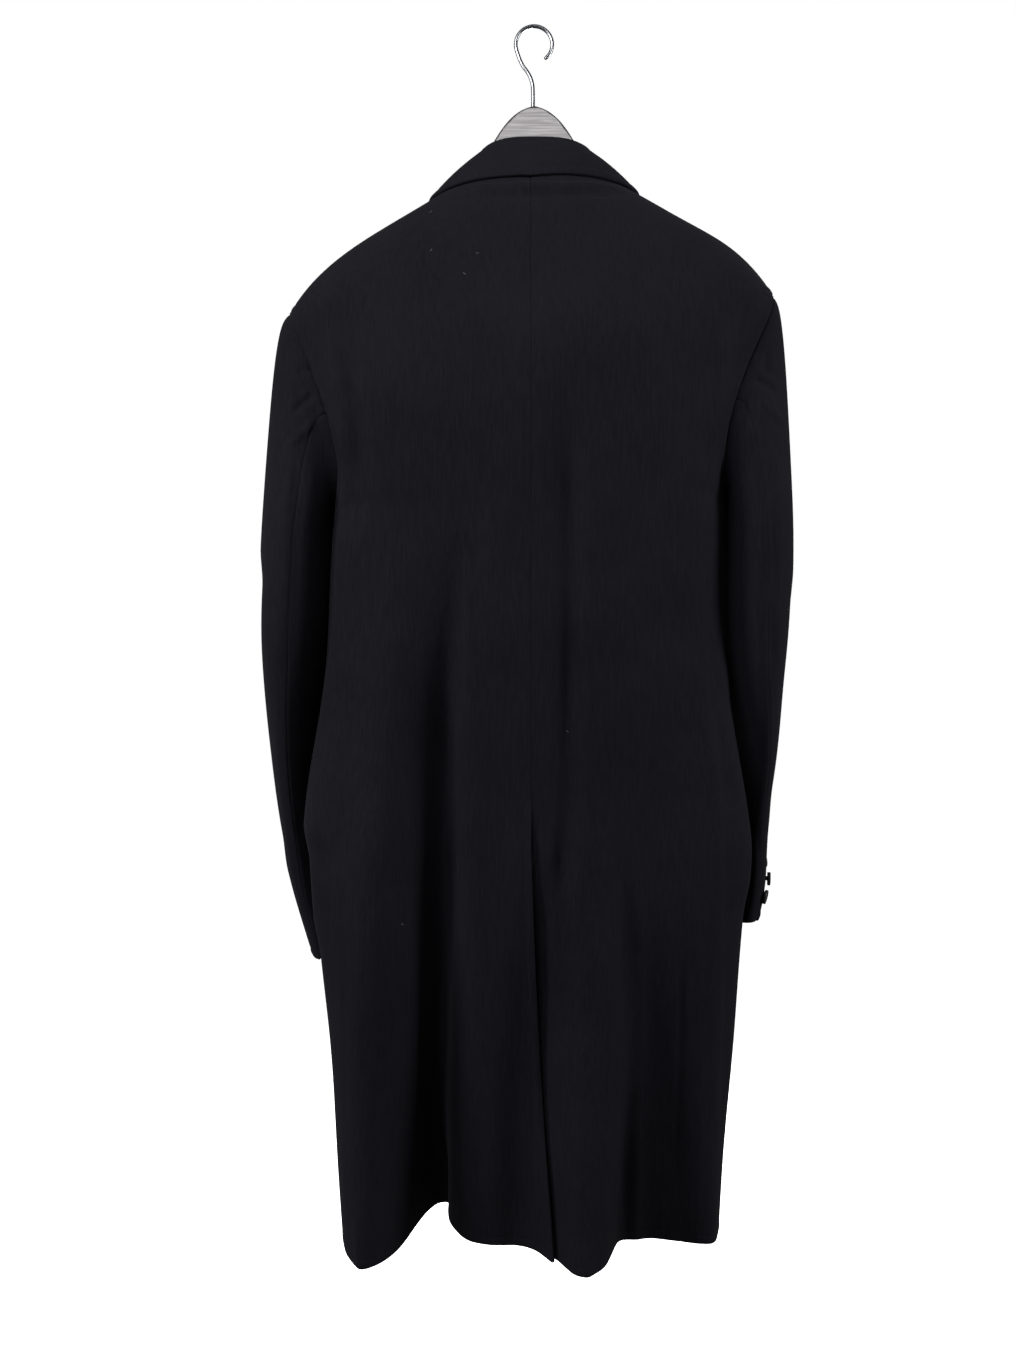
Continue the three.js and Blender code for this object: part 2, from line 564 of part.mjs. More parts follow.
// Cuts a run of columns out of a closed tube, each end drawn back by half a seam gap.
function tubePanel(tube, from, to) {
  const count = tube.outer[0].length;
  const run = Array.from({ length: to - from + 1 }, (_, i) => (from + i + count) % count);
  const cut = (grid) => grid.map((line) => {
    const points = run.map((c) => line[c].clone());
    const last = points.length - 1;
    const pull = (end, next) => end.add(next.clone().sub(end).setLength(seamGap / 2));
    pull(points[0], points[1]);
    pull(points[last], points[last - 1]);
    return points;
  });
  return { outer: cut(tube.outer), inner: cut(tube.inner) };
}

// ---------------------------------------------------------------- the coat as named meshes
const coat = new THREE.Group();
const wool = new THREE.MeshStandardMaterial({ color: '#15151a', roughness: 0.92, metalness: 0 });

function addMesh(name, geometry, material) {
  const mesh = new THREE.Mesh(geometry, material);
  mesh.name = name;
  coat.add(mesh);
  return mesh;
}

for (const side of Object.keys(sides)) {
  const { back, front } = bodyGrids[side];
  addMesh(`back_${side}`, wall(back.outer, back.inner), wool);
  addMesh(`front_${side}`, wall(front.outer, front.inner), wool);
  const tube = sleeveGrids(side);
  const count = tube.angles.length;
  const hind = tube.angles.findIndex((angle) => angle < hindSeam);
  const fore = tube.angles.findIndex((angle) => angle < foreSeam);
  const top = tubePanel(tube, hind, fore);
  const under = tubePanel(tube, fore, hind + count);
  addMesh(`sleeve_top_${side}`, wall(top.outer, top.inner), wool);
  addMesh(`sleeve_under_${side}`, wall(under.outer, under.inner), wool);
}

// ---------------------------------------------------------------- collar
// A point of the shoulder by x and by degrees rolled back from its ridge, and its normal.
function shoulderPoint(side, x, roll) {
  const face = roll >= 0 ? 'back' : 'front';
  const z = ridgeZ(side, x) - shoulderRoll[face] * (1 - Math.cos(radians(roll)));
  const square = face === 'back' ? squareBack : squareFront;
  const width = readTable(bodySections, 'z', z, side);
  const part = (1 - (x / width) ** square) ** (1 / square);
  return skinPoint(side, face, sides[side] * x, z, part);
}

function shoulderNormal(side, x, roll) {
  const along = shoulderPoint(side, x + 2, roll).sub(shoulderPoint(side, Math.max(x - 2, 0), roll));
  const over = shoulderPoint(side, x, roll + 4).sub(shoulderPoint(side, x, roll - 4));
  return along.cross(over).multiplyScalar(sides[side]).normalize();
}

// The neckline of one side from centre back to the roll line, as the panels' last row moved off.
function neckline(side) {
  const { back, front } = bodyGrids[side];
  const moved = (panel, column) => {
    const last = panel.outer.length - 1;
    const off = (skin) => {
      const step = panel.outer[last][column].clone().sub(panel.outer[last - 1][column]);
      return panel[skin][last][column].clone().add(step.setLength(angledGap));
    };
    return { outer: off('outer'), inner: off('inner') };
  };
  const lastRow = back.outer[back.outer.length - 1];
  const columnNear = (x) => lastRow.reduce((best, point, c) => (
    Math.abs(Math.abs(point.x) - x) < Math.abs(Math.abs(lastRow[best].x) - x) ? c : best), 0);
  const behind = [...neckPicks.slice(1)].reverse().map((x) => moved(back, columnNear(x)));
  const neckPoint = blend(moved(back, lastRow.length - 1), moved(front, frontColumns.length - 1));
  const ahead = [8, 5, 3, 0].map((column) => moved(front, column));
  return { centre: moved(back, 0), rest: [...behind, neckPoint, ...ahead] };
}

function collarGrids() {
  const left = neckline('left');
  const right = neckline('right');
  const seam = [...[...left.rest].reverse(), blend(left.centre, right.centre), ...right.rest];
  const middle = left.rest.length;
  const lengthFromBack = seam.map(() => 0);
  for (let i = middle + 1; i < seam.length; i += 1) {
    lengthFromBack[i] = lengthFromBack[i - 1] + seam[i].outer.distanceTo(seam[i - 1].outer);
  }
  for (let i = middle - 1; i >= 0; i -= 1) {
    lengthFromBack[i] = lengthFromBack[i + 1] + seam[i].outer.distanceTo(seam[i + 1].outer);
  }
  const columns = seam.map((point, i) => {
    const side = i <= middle ? 'left' : 'right';
    const along = lengthFromBack[i] / lengthFromBack[side === 'left' ? 0 : seam.length - 1];
    const read = (column) => readTable(collarSections, 'along', along, column);
    const fold = vec(sides[side] * read('foldX') + collarShift, read('foldY'), read('foldZ'));
    return { side, read, seam: point, fold };
  });
  columns.forEach((column, i) => {
    const before = columns[Math.max(i - 1, 0)].fold;
    const after = columns[Math.min(i + 1, columns.length - 1)].fold;
    const along = after.clone().sub(before);
    column.outward = vec(-along.y, along.x, 0).normalize();
    if (column.outward.dot(vec(column.fold.x, column.fold.y + 20, 0)) < 0) column.outward.negate();
  });
  return columns;
}

function addCollar() {
  const columns = collarGrids();
  const up = vec(0, 0, 1);
  const standOuter = [[], [], []];
  const standInner = [[], [], []];
  const leafOuter = [...bendAngles, ...leafRows].map(() => []);
  const leafInner = leafOuter.map(() => []);
  for (const { side, read, seam, fold, outward } of columns) {
    const foldInner = fold.clone().addScaledVector(outward, -cloth);
    standOuter[0].push(seam.outer);
    standOuter[1].push(seam.outer.clone().lerp(fold, 0.5));
    standOuter[2].push(fold);
    standInner[0].push(seam.inner);
    standInner[1].push(seam.inner.clone().lerp(foldInner, 0.5));
    standInner[2].push(foldInner);
    const centre = fold.clone().addScaledVector(outward, foldBend).addScaledVector(up, seamGap);
    bendAngles.forEach((angle, k) => {
      const ray = outward.clone().multiplyScalar(-Math.cos(radians(angle)))
        .addScaledVector(up, Math.sin(radians(angle)));
      leafOuter[k].push(centre.clone().addScaledVector(ray, foldBend + cloth));
      leafInner[k].push(centre.clone().addScaledVector(ray, foldBend));
    });
    const normal = shoulderNormal(side, Math.max(read('edgeX'), 0), read('edgeRoll'));
    const edge = shoulderPoint(side, Math.max(read('edgeX'), 0), read('edgeRoll'));
    const bent = bendAngles.length;
    const startOuter = leafOuter[bent - 1][leafOuter[bent - 1].length - 1];
    const startInner = leafInner[bent - 1][leafInner[bent - 1].length - 1];
    leafRows.forEach((part, k) => {
      const full = Math.sin(Math.PI * part);
      const swell = outward.clone().multiplyScalar(leafSwell.out * full);
      swell.addScaledVector(up, leafSwell.up * full);
      leafOuter[bent + k].push(startOuter.clone()
        .lerp(edge.clone().addScaledVector(normal, layerGap + cloth), part).add(swell));
      leafInner[bent + k].push(startInner.clone()
        .lerp(edge.clone().addScaledVector(normal, layerGap), part).add(swell));
    });
  }
  addMesh('collar_stand', wall(standOuter, standInner), wool);
  addMesh('collar_leaf', wall(leafOuter, leafInner), wool);
}

// ---------------------------------------------------------------- lapels
// A point on a grid row at some distance from its first point, with the skin's normal there.
function alongRow(line, normals, distance) {
  let left = distance;
  for (let i = 1; i < line.length; i += 1) {
    const step = line[i].distanceTo(line[i - 1]);
    if (left <= step) {
      return {
        point: line[i - 1].clone().lerp(line[i], left / step),
        normal: normals[i - 1].clone().lerp(normals[i], left / step).normalize(),
      };
    }
    left -= step;
  }
  return { point: line[line.length - 1].clone(), normal: normals[line.length - 1].clone() };
}

// A lapel rolls over from the front's edge and lies back on the panel.
function addLapel(side) {
  const { rows, front } = bodyGrids[side];
  const outer = [];
  const inner = [];
  rows.forEach((row, r) => {
    if (row.centreZ < (side === 'left' ? breakZ : rightLapelZ) || r === rows.length - 1) return;
    const line = front.outer[r];
    const normal = front.normals[r][0];
    const beyond = line[0].clone().sub(line[1]).normalize();
    const start = line[0].clone().addScaledVector(beyond, angledGap);
    const centre = start.clone().addScaledVector(normal, foldBend);
    const over = [];
    const under = [];
    for (const angle of bendAngles) {
      const ray = beyond.clone().multiplyScalar(Math.sin(radians(angle)))
        .addScaledVector(normal, -Math.cos(radians(angle)));
      over.push(centre.clone().addScaledVector(ray, foldBend + cloth));
      under.push(centre.clone().addScaledVector(ray, foldBend));
    }
    const shown = side === 'left' ? 1 : clamp((row.centreZ - rightLapelZ) / lapelGrows, lapelLeast, 1);
    const width = readTable(lapelSections, 'z', row.centreZ, 'width') * shown;
    for (const part of lapelColumns) {
      const place = alongRow(line, front.normals[r], part * width);
      const clear = mix(2 * foldBend, layerGap, part);
      over.push(place.point.clone().addScaledVector(place.normal, clear + cloth));
      under.push(place.point.clone().addScaledVector(place.normal, clear));
    }
    outer.push(over);
    inner.push(under);
  });
  addMesh(`lapel_${side}`, wall(outer, inner), wool);
}

// ---------------------------------------------------------------- hanger
const wood = new THREE.MeshStandardMaterial({ color: '#a9a7a8', roughness: 0.7, metalness: 0 });
const steel = new THREE.MeshStandardMaterial({ color: '#c9ccd0', roughness: 0.25, metalness: 1 });
const horn = new THREE.MeshStandardMaterial({ color: '#1b1a1d', roughness: 0.35, metalness: 0 });

function addHanger() {
  const armTop = (mirror, x) => {
    const side = mirror > 0 ? 'left' : 'right';
    const slope = (ridgeZ(side, x + 3) - ridgeZ(side, x - 3)) / 6;
    return ridgeZ(side, x) - hangerUnder * Math.hypot(1, slope);
  };
  const half = (mirror) => [
    ...hangerHead,
    ...hangerArms.map((x) => ({ x, z: armTop(mirror, x) })),
    { x: hangerEnd - 6, z: armTop(mirror, hangerEnd - 6) },
  ].map((point) => new THREE.Vector2(mirror * point.x, point.z));
  const lower = (mirror) => [...[...hangerArms].reverse(), 60, 30].map((x) => {
    const top = x >= neckPointX ? armTop(mirror, x)
      : mix(hangerMiddleZ, armTop(mirror, neckPointX), x / neckPointX);
    return new THREE.Vector2(mirror * x, top - readTable(hangerDepth, 'x', x, 'deep'));
  });
  const tip = (mirror) => [
    new THREE.Vector2(mirror * hangerEnd, armTop(mirror, hangerEnd) - 5),
    new THREE.Vector2(mirror * (hangerEnd + 1), armTop(mirror, hangerEnd) - 12),
    new THREE.Vector2(mirror * (hangerEnd - 5), armTop(mirror, hangerEnd) - 17),
  ];
  const right = [...half(-1), ...tip(-1), ...lower(-1)];
  const left = [...half(1), ...tip(1), ...lower(1)];
  const outline = new THREE.Shape([...right, ...left.reverse().slice(0, -1)]);
  const board = new THREE.ExtrudeGeometry(outline, {
    depth: hangerThick - 2 * hangerBevel, bevelEnabled: true, bevelThickness: hangerBevel,
    bevelSize: hangerBevel, bevelOffset: -hangerBevel, bevelSegments: 1, curveSegments: 1,
  });
  const mesh = addMesh('hanger_body', board, wood);
  mesh.rotation.x = Math.PI / 2;
  mesh.position.y = hangerThick / 2 - hangerBevel;
}

function addHook() {
  const loop = hookInside + wire / 2;
  const round = steps(12).map((part) => {
    const turn = radians(mix(hookTurn.tip, hookTurn.neck, part));
    return vec(loop * Math.cos(turn), 0, loop * Math.sin(turn) - hookInside);
  });
  const neck = [...hookNeck, hookFoot].map((point) => vec(point.x, 0, point.z));
  const path = new THREE.CatmullRomCurve3([...round, ...neck]);
  const section = new THREE.Shape().absarc(0, 0, wire / 2, 0, 2 * Math.PI);
  addMesh('hanger_hook', new THREE.ExtrudeGeometry(section, {
    steps: 36, extrudePath: path, curveSegments: 4,
  }), steel);
}

// ---------------------------------------------------------------- buttons
// A disc with a raised rim round a shallow dish, its back at y = 0 and its face towards +y.
function buttonShape({ radius, thick, rim, facets }) {
  const profile = [
    [0, 0], [radius * 0.86, 0], [radius, thick * 0.35], [radius - rim * 0.3, thick],
    [radius - rim * 1.3, thick], [radius * 0.62, thick * 0.6], [0, thick * 0.55],
  ];
  return new THREE.LatheGeometry(profile.map(([x, y]) => new THREE.Vector2(x, y)), facets);
}

// Sews a button on at a place, facing along the cloth's normal there.
function addButton(name, shape, place, normal) {
  const button = addMesh(name, buttonShape(shape), horn);
  button.quaternion.setFromUnitVectors(vec(0, 1, 0), normal);
  button.position.copy(place);
}

function addButtons() {
  frontButtonZ.forEach((z, i) => {
    const skin = skinPoint('left', 'front', 0, z);
    const slope = (skinPoint('left', 'front', 0, z + 10).y - skinPoint('left', 'front', 0, z - 10).y) / 20;
    const normal = vec(0, -1, slope).normalize();
    addButton(`front_button_${i + 1}`, frontButton, skin.addScaledVector(normal, 0.6), normal);
  });
  for (const side of Object.keys(sides)) {
    const table = sleeveSections[side];
    const hem = table[table.length - 1].z;
    const skin = (z, turn) => {
      const read = (column) => readTable(table, 'z', z, column);
      return vec(sides[side] * (read('x') + read('halfWidth') * Math.cos(turn)),
        read('y') + read('halfDepth') * Math.sin(turn), z);
    };
    cuffButtons.forEach((sewn, i) => {
      const z = hem + sewn.up;
      const turn = radians(sewn[side].turn);
      const flat = vec(sides[side] * Math.cos(turn) / readTable(table, 'z', z, 'halfWidth'),
        Math.sin(turn) / readTable(table, 'z', z, 'halfDepth'), 0).normalize();
      const rise = skin(z + 5, turn).sub(skin(z - 5, turn)).divideScalar(10);
      const normal = flat.clone().setZ(-flat.dot(rise)).normalize();
      const place = skin(z, turn).addScaledVector(normal, sewn[side].off);
      addButton(`cuff_button_${side}_${i + 1}`, cuffButton, place, normal);
    });
  }
}

addButtons();
addHook();
addCollar();
addLapel('left');
addLapel('right');
addHanger();

export default coat;
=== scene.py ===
# %% [markdown]
# # A wool overcoat on a wooden hanger
#
# The coat is sewn from panels: two backs, two fronts, two-piece sleeves, a collar and lapels. The
# frame brings each of them as a plain thin wall at its true place. This lesson turns those walls
# into cloth, adds what a tailor and a hanger maker add, and gives every surface its finish.
#
# The frame comes first, because every later step measures it. All that it loads is left selected,
# and an operator acts on all that is selected, so everything is deselected at once.

# %% The frame
import math
from collections import namedtuple

import bmesh
import bpy
import numpy as np
from mathutils import Matrix, Vector


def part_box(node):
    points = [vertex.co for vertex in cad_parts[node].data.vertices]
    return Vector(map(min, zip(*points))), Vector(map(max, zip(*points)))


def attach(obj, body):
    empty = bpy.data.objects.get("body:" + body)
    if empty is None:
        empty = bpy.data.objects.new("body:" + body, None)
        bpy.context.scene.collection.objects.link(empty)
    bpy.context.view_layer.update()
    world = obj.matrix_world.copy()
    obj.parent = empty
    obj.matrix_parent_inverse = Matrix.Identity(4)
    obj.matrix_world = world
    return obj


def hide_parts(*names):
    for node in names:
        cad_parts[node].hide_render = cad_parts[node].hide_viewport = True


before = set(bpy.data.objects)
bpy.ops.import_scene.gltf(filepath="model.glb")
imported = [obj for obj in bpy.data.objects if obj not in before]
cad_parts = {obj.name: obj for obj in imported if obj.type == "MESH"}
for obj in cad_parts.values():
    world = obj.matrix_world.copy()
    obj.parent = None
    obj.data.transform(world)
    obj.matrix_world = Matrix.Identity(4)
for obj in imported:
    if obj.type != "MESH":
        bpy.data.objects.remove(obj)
bpy.ops.object.select_all(action="DESELECT")
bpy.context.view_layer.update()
MM = 0.001
print("nodes in the frame:", len(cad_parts))

# %% [markdown]
# ## The camera
#
# The coat is seen square on from behind, from a little above its middle. A level camera keeps the
# side edges upright. The lens is worked out from how many millimetres of the coat's own plane fill
# the picture's height at that distance, so that the view and the coat keep one scale.

# %% The camera
CAMERA_PLACE = Vector((25.5, 1350, -650.5)) * MM
PICTURE_HEIGHT = 1357 * MM  # of the hanger's plane, which the picture takes in
SENSOR = 36.0

camera_data = bpy.data.cameras.new("camera")
camera_data.sensor_fit = "VERTICAL"
camera_data.sensor_height = SENSOR
camera_data.lens = SENSOR * CAMERA_PLACE.y / PICTURE_HEIGHT
camera = bpy.data.objects.new("camera", camera_data)
camera.location = CAMERA_PLACE
camera.rotation_euler = (math.radians(90), 0, math.radians(180))
bpy.context.scene.collection.objects.link(camera)
bpy.context.scene.camera = camera
print("lens:", round(camera_data.lens, 2), "mm")

# %% [markdown]
# ## Colours and nodes
#
# Colours are written as the hex values that a screen shows. Cycles mixes light in linear values,
# so one function turns the first into the second. A second small function adds a shader node with
# its settings and its links, which keeps each finish below down to a short list of what it is made
# of.

# %% Colours and nodes
def linear(hex_colour):
    """The linear colour of a screen colour such as "#a0b1c2"."""
    channels = [int(hex_colour[i:i + 2], 16) / 255 for i in (1, 3, 5)]
    return [c / 12.92 if c <= 0.04045 else ((c + 0.055) / 1.055) ** 2.4 for c in channels] + [1]


def add_node(material, kind, settings=None, **inputs):
    """Adds a node. settings are its properties; an input is a value or another node's output."""
    node = material.node_tree.nodes.new(kind)
    for name, value in (settings or {}).items():
        setattr(node, name, value)
    for name, value in inputs.items():
        key = int(name[1:]) if name[1:].isdigit() else name.replace("_", " ")
        socket = node.inputs[key]
        if isinstance(value, bpy.types.NodeSocket):
            material.node_tree.links.new(value, socket)
        else:
            socket.default_value = value
    return node


def new_material(name):
    """An empty material with its output, and the shader that feeds it."""
    material = bpy.data.materials.new(name)
    material.use_nodes = True
    shader = material.node_tree.nodes["Principled BSDF"]
    return material, shader


def feed(shader, name, output):
    """Links a node's output to the shader's input of a name."""
    shader.id_data.links.new(output, shader.inputs[name])


# %% [markdown]
# ## The studio
#
# Black wool is lit from above and a little from one side, in front of a bright white paper. The
# paper has to look white, but its light mustn't wrap round the coat, or the folds would fill up
# with it. So the world is white where the camera looks and much dimmer where it lights, and the
# pale floor is hidden from the rays that light the coat. The main panel hangs high behind the
# coat's back and near to it, so that the shoulders get more light than the hem. A stronger one
# stands further off in front, and two tall panels light the arms from the sides.

# %% The studio
PAPER_WHITE, ROOM_FILL = 1.0, 0.12
FLOOR_Z = -1.62

world = bpy.data.worlds.new("white_room")
world.use_nodes = True
background = world.node_tree.nodes["Background"]
background.inputs["Color"].default_value = (1, 1, 1, 1)
ray = world.node_tree.nodes.new("ShaderNodeLightPath")
strength = world.node_tree.nodes.new("ShaderNodeMapRange")
strength.inputs["To Min"].default_value = ROOM_FILL
strength.inputs["To Max"].default_value = PAPER_WHITE
world.node_tree.links.new(ray.outputs["Is Camera Ray"], strength.inputs["Value"])
world.node_tree.links.new(strength.outputs["Result"], background.inputs["Strength"])
bpy.context.scene.world = world
bpy.context.scene.view_settings.view_transform = "Standard"

bpy.ops.mesh.primitive_plane_add(size=14, location=(0, 0, FLOOR_Z))
floor = bpy.context.active_object
floor.name = "floor"
bpy.ops.object.transform_apply(location=True)
floor_paint, shader = new_material("matt_white_floor")
shader.inputs["Base Color"].default_value = linear("#fbfbfb")
shader.inputs["Roughness"].default_value = 0.9
shader.inputs["Emission Color"].default_value = linear("#ffffff")
shader.inputs["Emission Strength"].default_value = 0.9
floor.data.materials.append(floor_paint)
floor.visible_diffuse = floor.visible_glossy = False


def add_panel(name, place, target, size, power):
    """A soft light panel that faces a target."""
    light = bpy.data.lights.new(name, "AREA")
    light.shape = "RECTANGLE"
    light.size, light.size_y = size
    light.energy = power
    panel = bpy.data.objects.new(name, light)
    panel.location = place
    panel.rotation_euler = (Vector(target) - Vector(place)).to_track_quat("-Z", "Y").to_euler()
    bpy.context.scene.collection.objects.link(panel)
    return panel


add_panel("high_back_panel", (0.62, 1.3, 0.55), (0, 0, -0.45), (0.8, 0.5), 24)
add_panel("high_front_panel", (-0.5, -1.9, -0.1), (0, 0, -0.65), (0.8, 0.8), 75)
add_panel("left_panel", (1.9, 1.0, -0.1), (0, 0, -0.6), (0.6, 1.2), 30)
add_panel("right_panel", (-2.0, 0.6, -0.2), (0, 0, -0.7), (0.5, 1.2), 32)
print("floor at", FLOOR_Z, "m")

# %% [markdown]
# ## Napped wool coating
#
# Overcoat cloth is woven of wool with some cashmere, then milled and brushed until short fibres
# hide the weave. They all lie down the coat. To the eye it is a deep soft black that turns a
# little lighter where the fibres catch light at a slant, with no gloss.
#
# A diffuse base with hardly any mirror reflection and a faint sheen gives that. The nap is noise
# stretched down the coat, 2 mm wide where the real fibres are a tenth of that, so that it shows.
# Each panel carries two measures of its own, how far a point is from a seam and from a free edge,
# in millimetres. They draw the seam's fine line and the row of edge stitches, which no mesh is
# fine enough to hold.

# %% Napped wool coating
NAP_WIDTH = 2.0 * MM
NAP_LENGTH = 22 * MM
PATCH_SIZE = 130 * MM  # of the areas where the nap was brushed a little differently
SEAM_LINE_MM = 1.3
STITCH_ROW_MM = 7.0
STITCH_GAP = 4.5 * MM


def make_wool():
    wool, shader = new_material("napped_wool_coating")
    place = add_node(wool, "ShaderNodeTexCoord").outputs["Object"]
    lying = add_node(wool, "ShaderNodeMapping", Vector=place,
                     Scale=(1 / NAP_WIDTH, 1 / NAP_WIDTH, 1 / NAP_LENGTH)).outputs["Vector"]
    nap = add_node(wool, "ShaderNodeTexNoise", Vector=lying, Scale=1.0, Detail=4.0,
                   Roughness=0.62).outputs["Fac"]
    patches = add_node(wool, "ShaderNodeTexNoise", Vector=place, Scale=1 / PATCH_SIZE, Detail=2.0,
                       Roughness=0.5).outputs["Fac"]
    tone = add_node(wool, "ShaderNodeMix", {"data_type": "FLOAT"}, Factor=0.45, A=nap, B=patches)
    colour = add_node(wool, "ShaderNodeValToRGB", Fac=tone.outputs["Result"])
    dark, light = colour.color_ramp.elements
    dark.position, dark.color = 0.3, linear("#0c0c10")
    light.position, light.color = 0.72, linear("#17171d")
    feed(shader, "Base Color", colour.outputs["Color"])

    seam = add_node(wool, "ShaderNodeAttribute", {"attribute_name": "seam_mm"}).outputs["Fac"]
    line = add_node(wool, "ShaderNodeMapRange", {"interpolation_type": "SMOOTHSTEP"}, Value=seam,
                    From_Min=0.0, From_Max=SEAM_LINE_MM, To_Min=1.0, To_Max=0.0).outputs["Result"]
    edge = add_node(wool, "ShaderNodeAttribute", {"attribute_name": "edge_mm"}).outputs["Fac"]
    off_row = add_node(wool, "ShaderNodeMath", {"operation": "SUBTRACT"},
                       i0=edge, i1=STITCH_ROW_MM)
    off_row = add_node(wool, "ShaderNodeMath", {"operation": "ABSOLUTE"}, i0=off_row.outputs[0])
    row = add_node(wool, "ShaderNodeMapRange", {"interpolation_type": "SMOOTHSTEP"},
                   Value=off_row.outputs[0], From_Min=0.2, From_Max=1.4, To_Min=1.0, To_Max=0.0)
    pull = add_node(wool, "ShaderNodeTexNoise", Vector=place, Scale=1 / STITCH_GAP, Detail=0.0)
    pull = add_node(wool, "ShaderNodeMapRange", Value=pull.outputs["Fac"],
                    From_Min=0.4, From_Max=0.6, To_Min=0.25, To_Max=1.0)
    stitches = add_node(wool, "ShaderNodeMath", {"operation": "MULTIPLY"}, i0=row.outputs[0],
                        i1=pull.outputs["Result"]).outputs[0]
    sunk = add_node(wool, "ShaderNodeMath", {"operation": "MAXIMUM"}, i0=line, i1=stitches)
    height = add_node(wool, "ShaderNodeMath", {"operation": "MULTIPLY_ADD"},
                      i0=sunk.outputs[0], i1=-0.5, i2=nap)
    bump = add_node(wool, "ShaderNodeBump", Strength=0.6, Distance=0.5 * MM,
                    Height=height.outputs[0])
    feed(shader, "Normal", bump.outputs["Normal"])
    shader.inputs["Roughness"].default_value = 0.85
    shader.inputs["Specular IOR Level"].default_value = 0.06
    shader.inputs["Sheen Weight"].default_value = 0.02
    shader.inputs["Sheen Roughness"].default_value = 0.45
    shader.inputs["Sheen Tint"].default_value = linear("#d8d8ec")
    return wool


wool_coating = make_wool()
print("nap of", round(NAP_WIDTH / MM, 1), "by", round(NAP_LENGTH / MM), "mm")

# %% [markdown]
# ## From a plain wall to a panel
#
# A real panel is one layer of cloth with rolled, pressed edges. Each wall of the frame already has
# the cloth's thickness and the coat's true shape, in loose triangles. Its copy is merged, its
# triangles are joined back into the grid that they came from, and a Subdivision Surface rounds it.
# The rims are found by their sharp angle and creased first, since an uncreased rim would shrink
# and open the seams. The crease is a weak one: it holds the rim while the mesh is coarse and
# lets go at the last level, which leaves a small soft round.

# %% Panels from the frame
TRIANGLE_LIMIT = 195_000
SHARP = math.radians(60)
RING_LEAST = 24  # edges, in the smallest ring round a panel


def select_only(piece):
    bpy.ops.object.select_all(action="DESELECT")
    piece.select_set(True)
    bpy.context.view_layer.objects.active = piece


def copy_node(node, name):
    """A CAD node's mesh as a new merged piece, in quads, with its edges in edge selection."""
    piece = bpy.data.objects.new(name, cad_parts[node].data.copy())
    piece.data.name = name
    bpy.context.scene.collection.objects.link(piece)
    select_only(piece)
    if piece.data.has_custom_normals:
        bpy.ops.mesh.customdata_custom_splitnormals_clear()
    bpy.ops.object.mode_set(mode="EDIT")
    bpy.ops.mesh.select_mode(type="EDGE")
    bpy.ops.mesh.select_all(action="SELECT")
    bpy.ops.mesh.remove_doubles(threshold=0.05 * MM)
    bpy.ops.mesh.tris_convert_to_quads(face_threshold=SHARP, shape_threshold=math.pi,
                                       topology_influence=2)
    bpy.ops.mesh.select_all(action="DESELECT")
    bpy.ops.object.mode_set(mode="OBJECT")
    return piece


def drop_short_chains(piece, least):
    """Deselects edges that don't belong to a ring: sharp spots inside a panel aren't its rim."""
    mesh = bmesh.from_edit_mesh(piece.data)
    left = {edge for edge in mesh.edges if edge.select}
    while left:
        ends, chain = [left.pop()], set()
        while ends:
            edge = ends.pop()
            chain.add(edge)
            joined = {other for vertex in edge.verts for other in vertex.link_edges} & left
            left -= joined
            ends.extend(joined)
        if len(chain) < least:
            for edge in chain:
                edge.select_set(False)
    bmesh.update_edit_mesh(piece.data)


def subdivide_with_rims(piece, levels):
    """Rounds a wall and marks its rim's vertices in a group of that name."""
    select_only(piece)
    rim = piece.vertex_groups.new(name="rim")
    bpy.ops.object.mode_set(mode="EDIT")
    bpy.ops.mesh.edges_select_sharp(sharpness=SHARP)
    drop_short_chains(piece, RING_LEAST)
    bpy.ops.transform.edge_crease(value=math.sqrt((levels - 1) / 10))
    bpy.ops.object.vertex_group_assign()
    bpy.ops.object.mode_set(mode="OBJECT")
    rounding = piece.modifiers.new("rounding", "SUBSURF")
    rounding.levels = rounding.render_levels = levels
    bpy.ops.object.modifier_apply(modifier=rounding.name)
    return rim


CLOTH_NODES = {
    "back_left": 3, "back_right": 3, "front_left": 3, "front_right": 3,
    "sleeve_top_left": 3, "sleeve_top_right": 3, "sleeve_under_left": 2, "sleeve_under_right": 2,
    "collar_stand": 2, "collar_leaf": 3, "lapel_left": 3, "lapel_right": 3,
}
panels = {}
for node, levels in CLOTH_NODES.items():
    panel = copy_node(node, node + "_cloth")
    if len(panel.data.polygons) * 2 * 4 ** levels > TRIANGLE_LIMIT:
        levels -= 1
    subdivide_with_rims(panel, levels)
    panels[node] = panel
    print(node, len(panel.data.polygons), "faces at level", levels)

# %% [markdown]
# ## Seams and free edges
#
# Two rims that face each other are a seam, and a rim that faces nothing is a free edge: a hem, a
# cuff or the outline of a collar. A tailor treats them differently, so each point of the cloth
# gets its distance to the nearest of both kinds. The rims' own faces go into search trees, which
# answer how far the nearest rim is, quickly and exactly.
#
# Where a lapel or the collar folds over, two rims also meet, but the real cloth runs on there.
# Such folds count as neither. The armhole is kept apart as well, because body and sleeve move
# along different directions, and near it neither may move.

# %% Seams and free edges
from mathutils.bvhtree import BVHTree

SEAM_REACH = 1.6 * MM
FOLDED = {"front_left": "lapel_left", "front_right": "lapel_right", "collar_stand": "collar_leaf"}
FOLDED.update({leaf: base for base, leaf in list(FOLDED.items())})
FAR = 1.0  # metres, where a panel has no such edge
RIM_WEIGHT = 0.99
MEASURE_LIMIT = 60  # millimetres


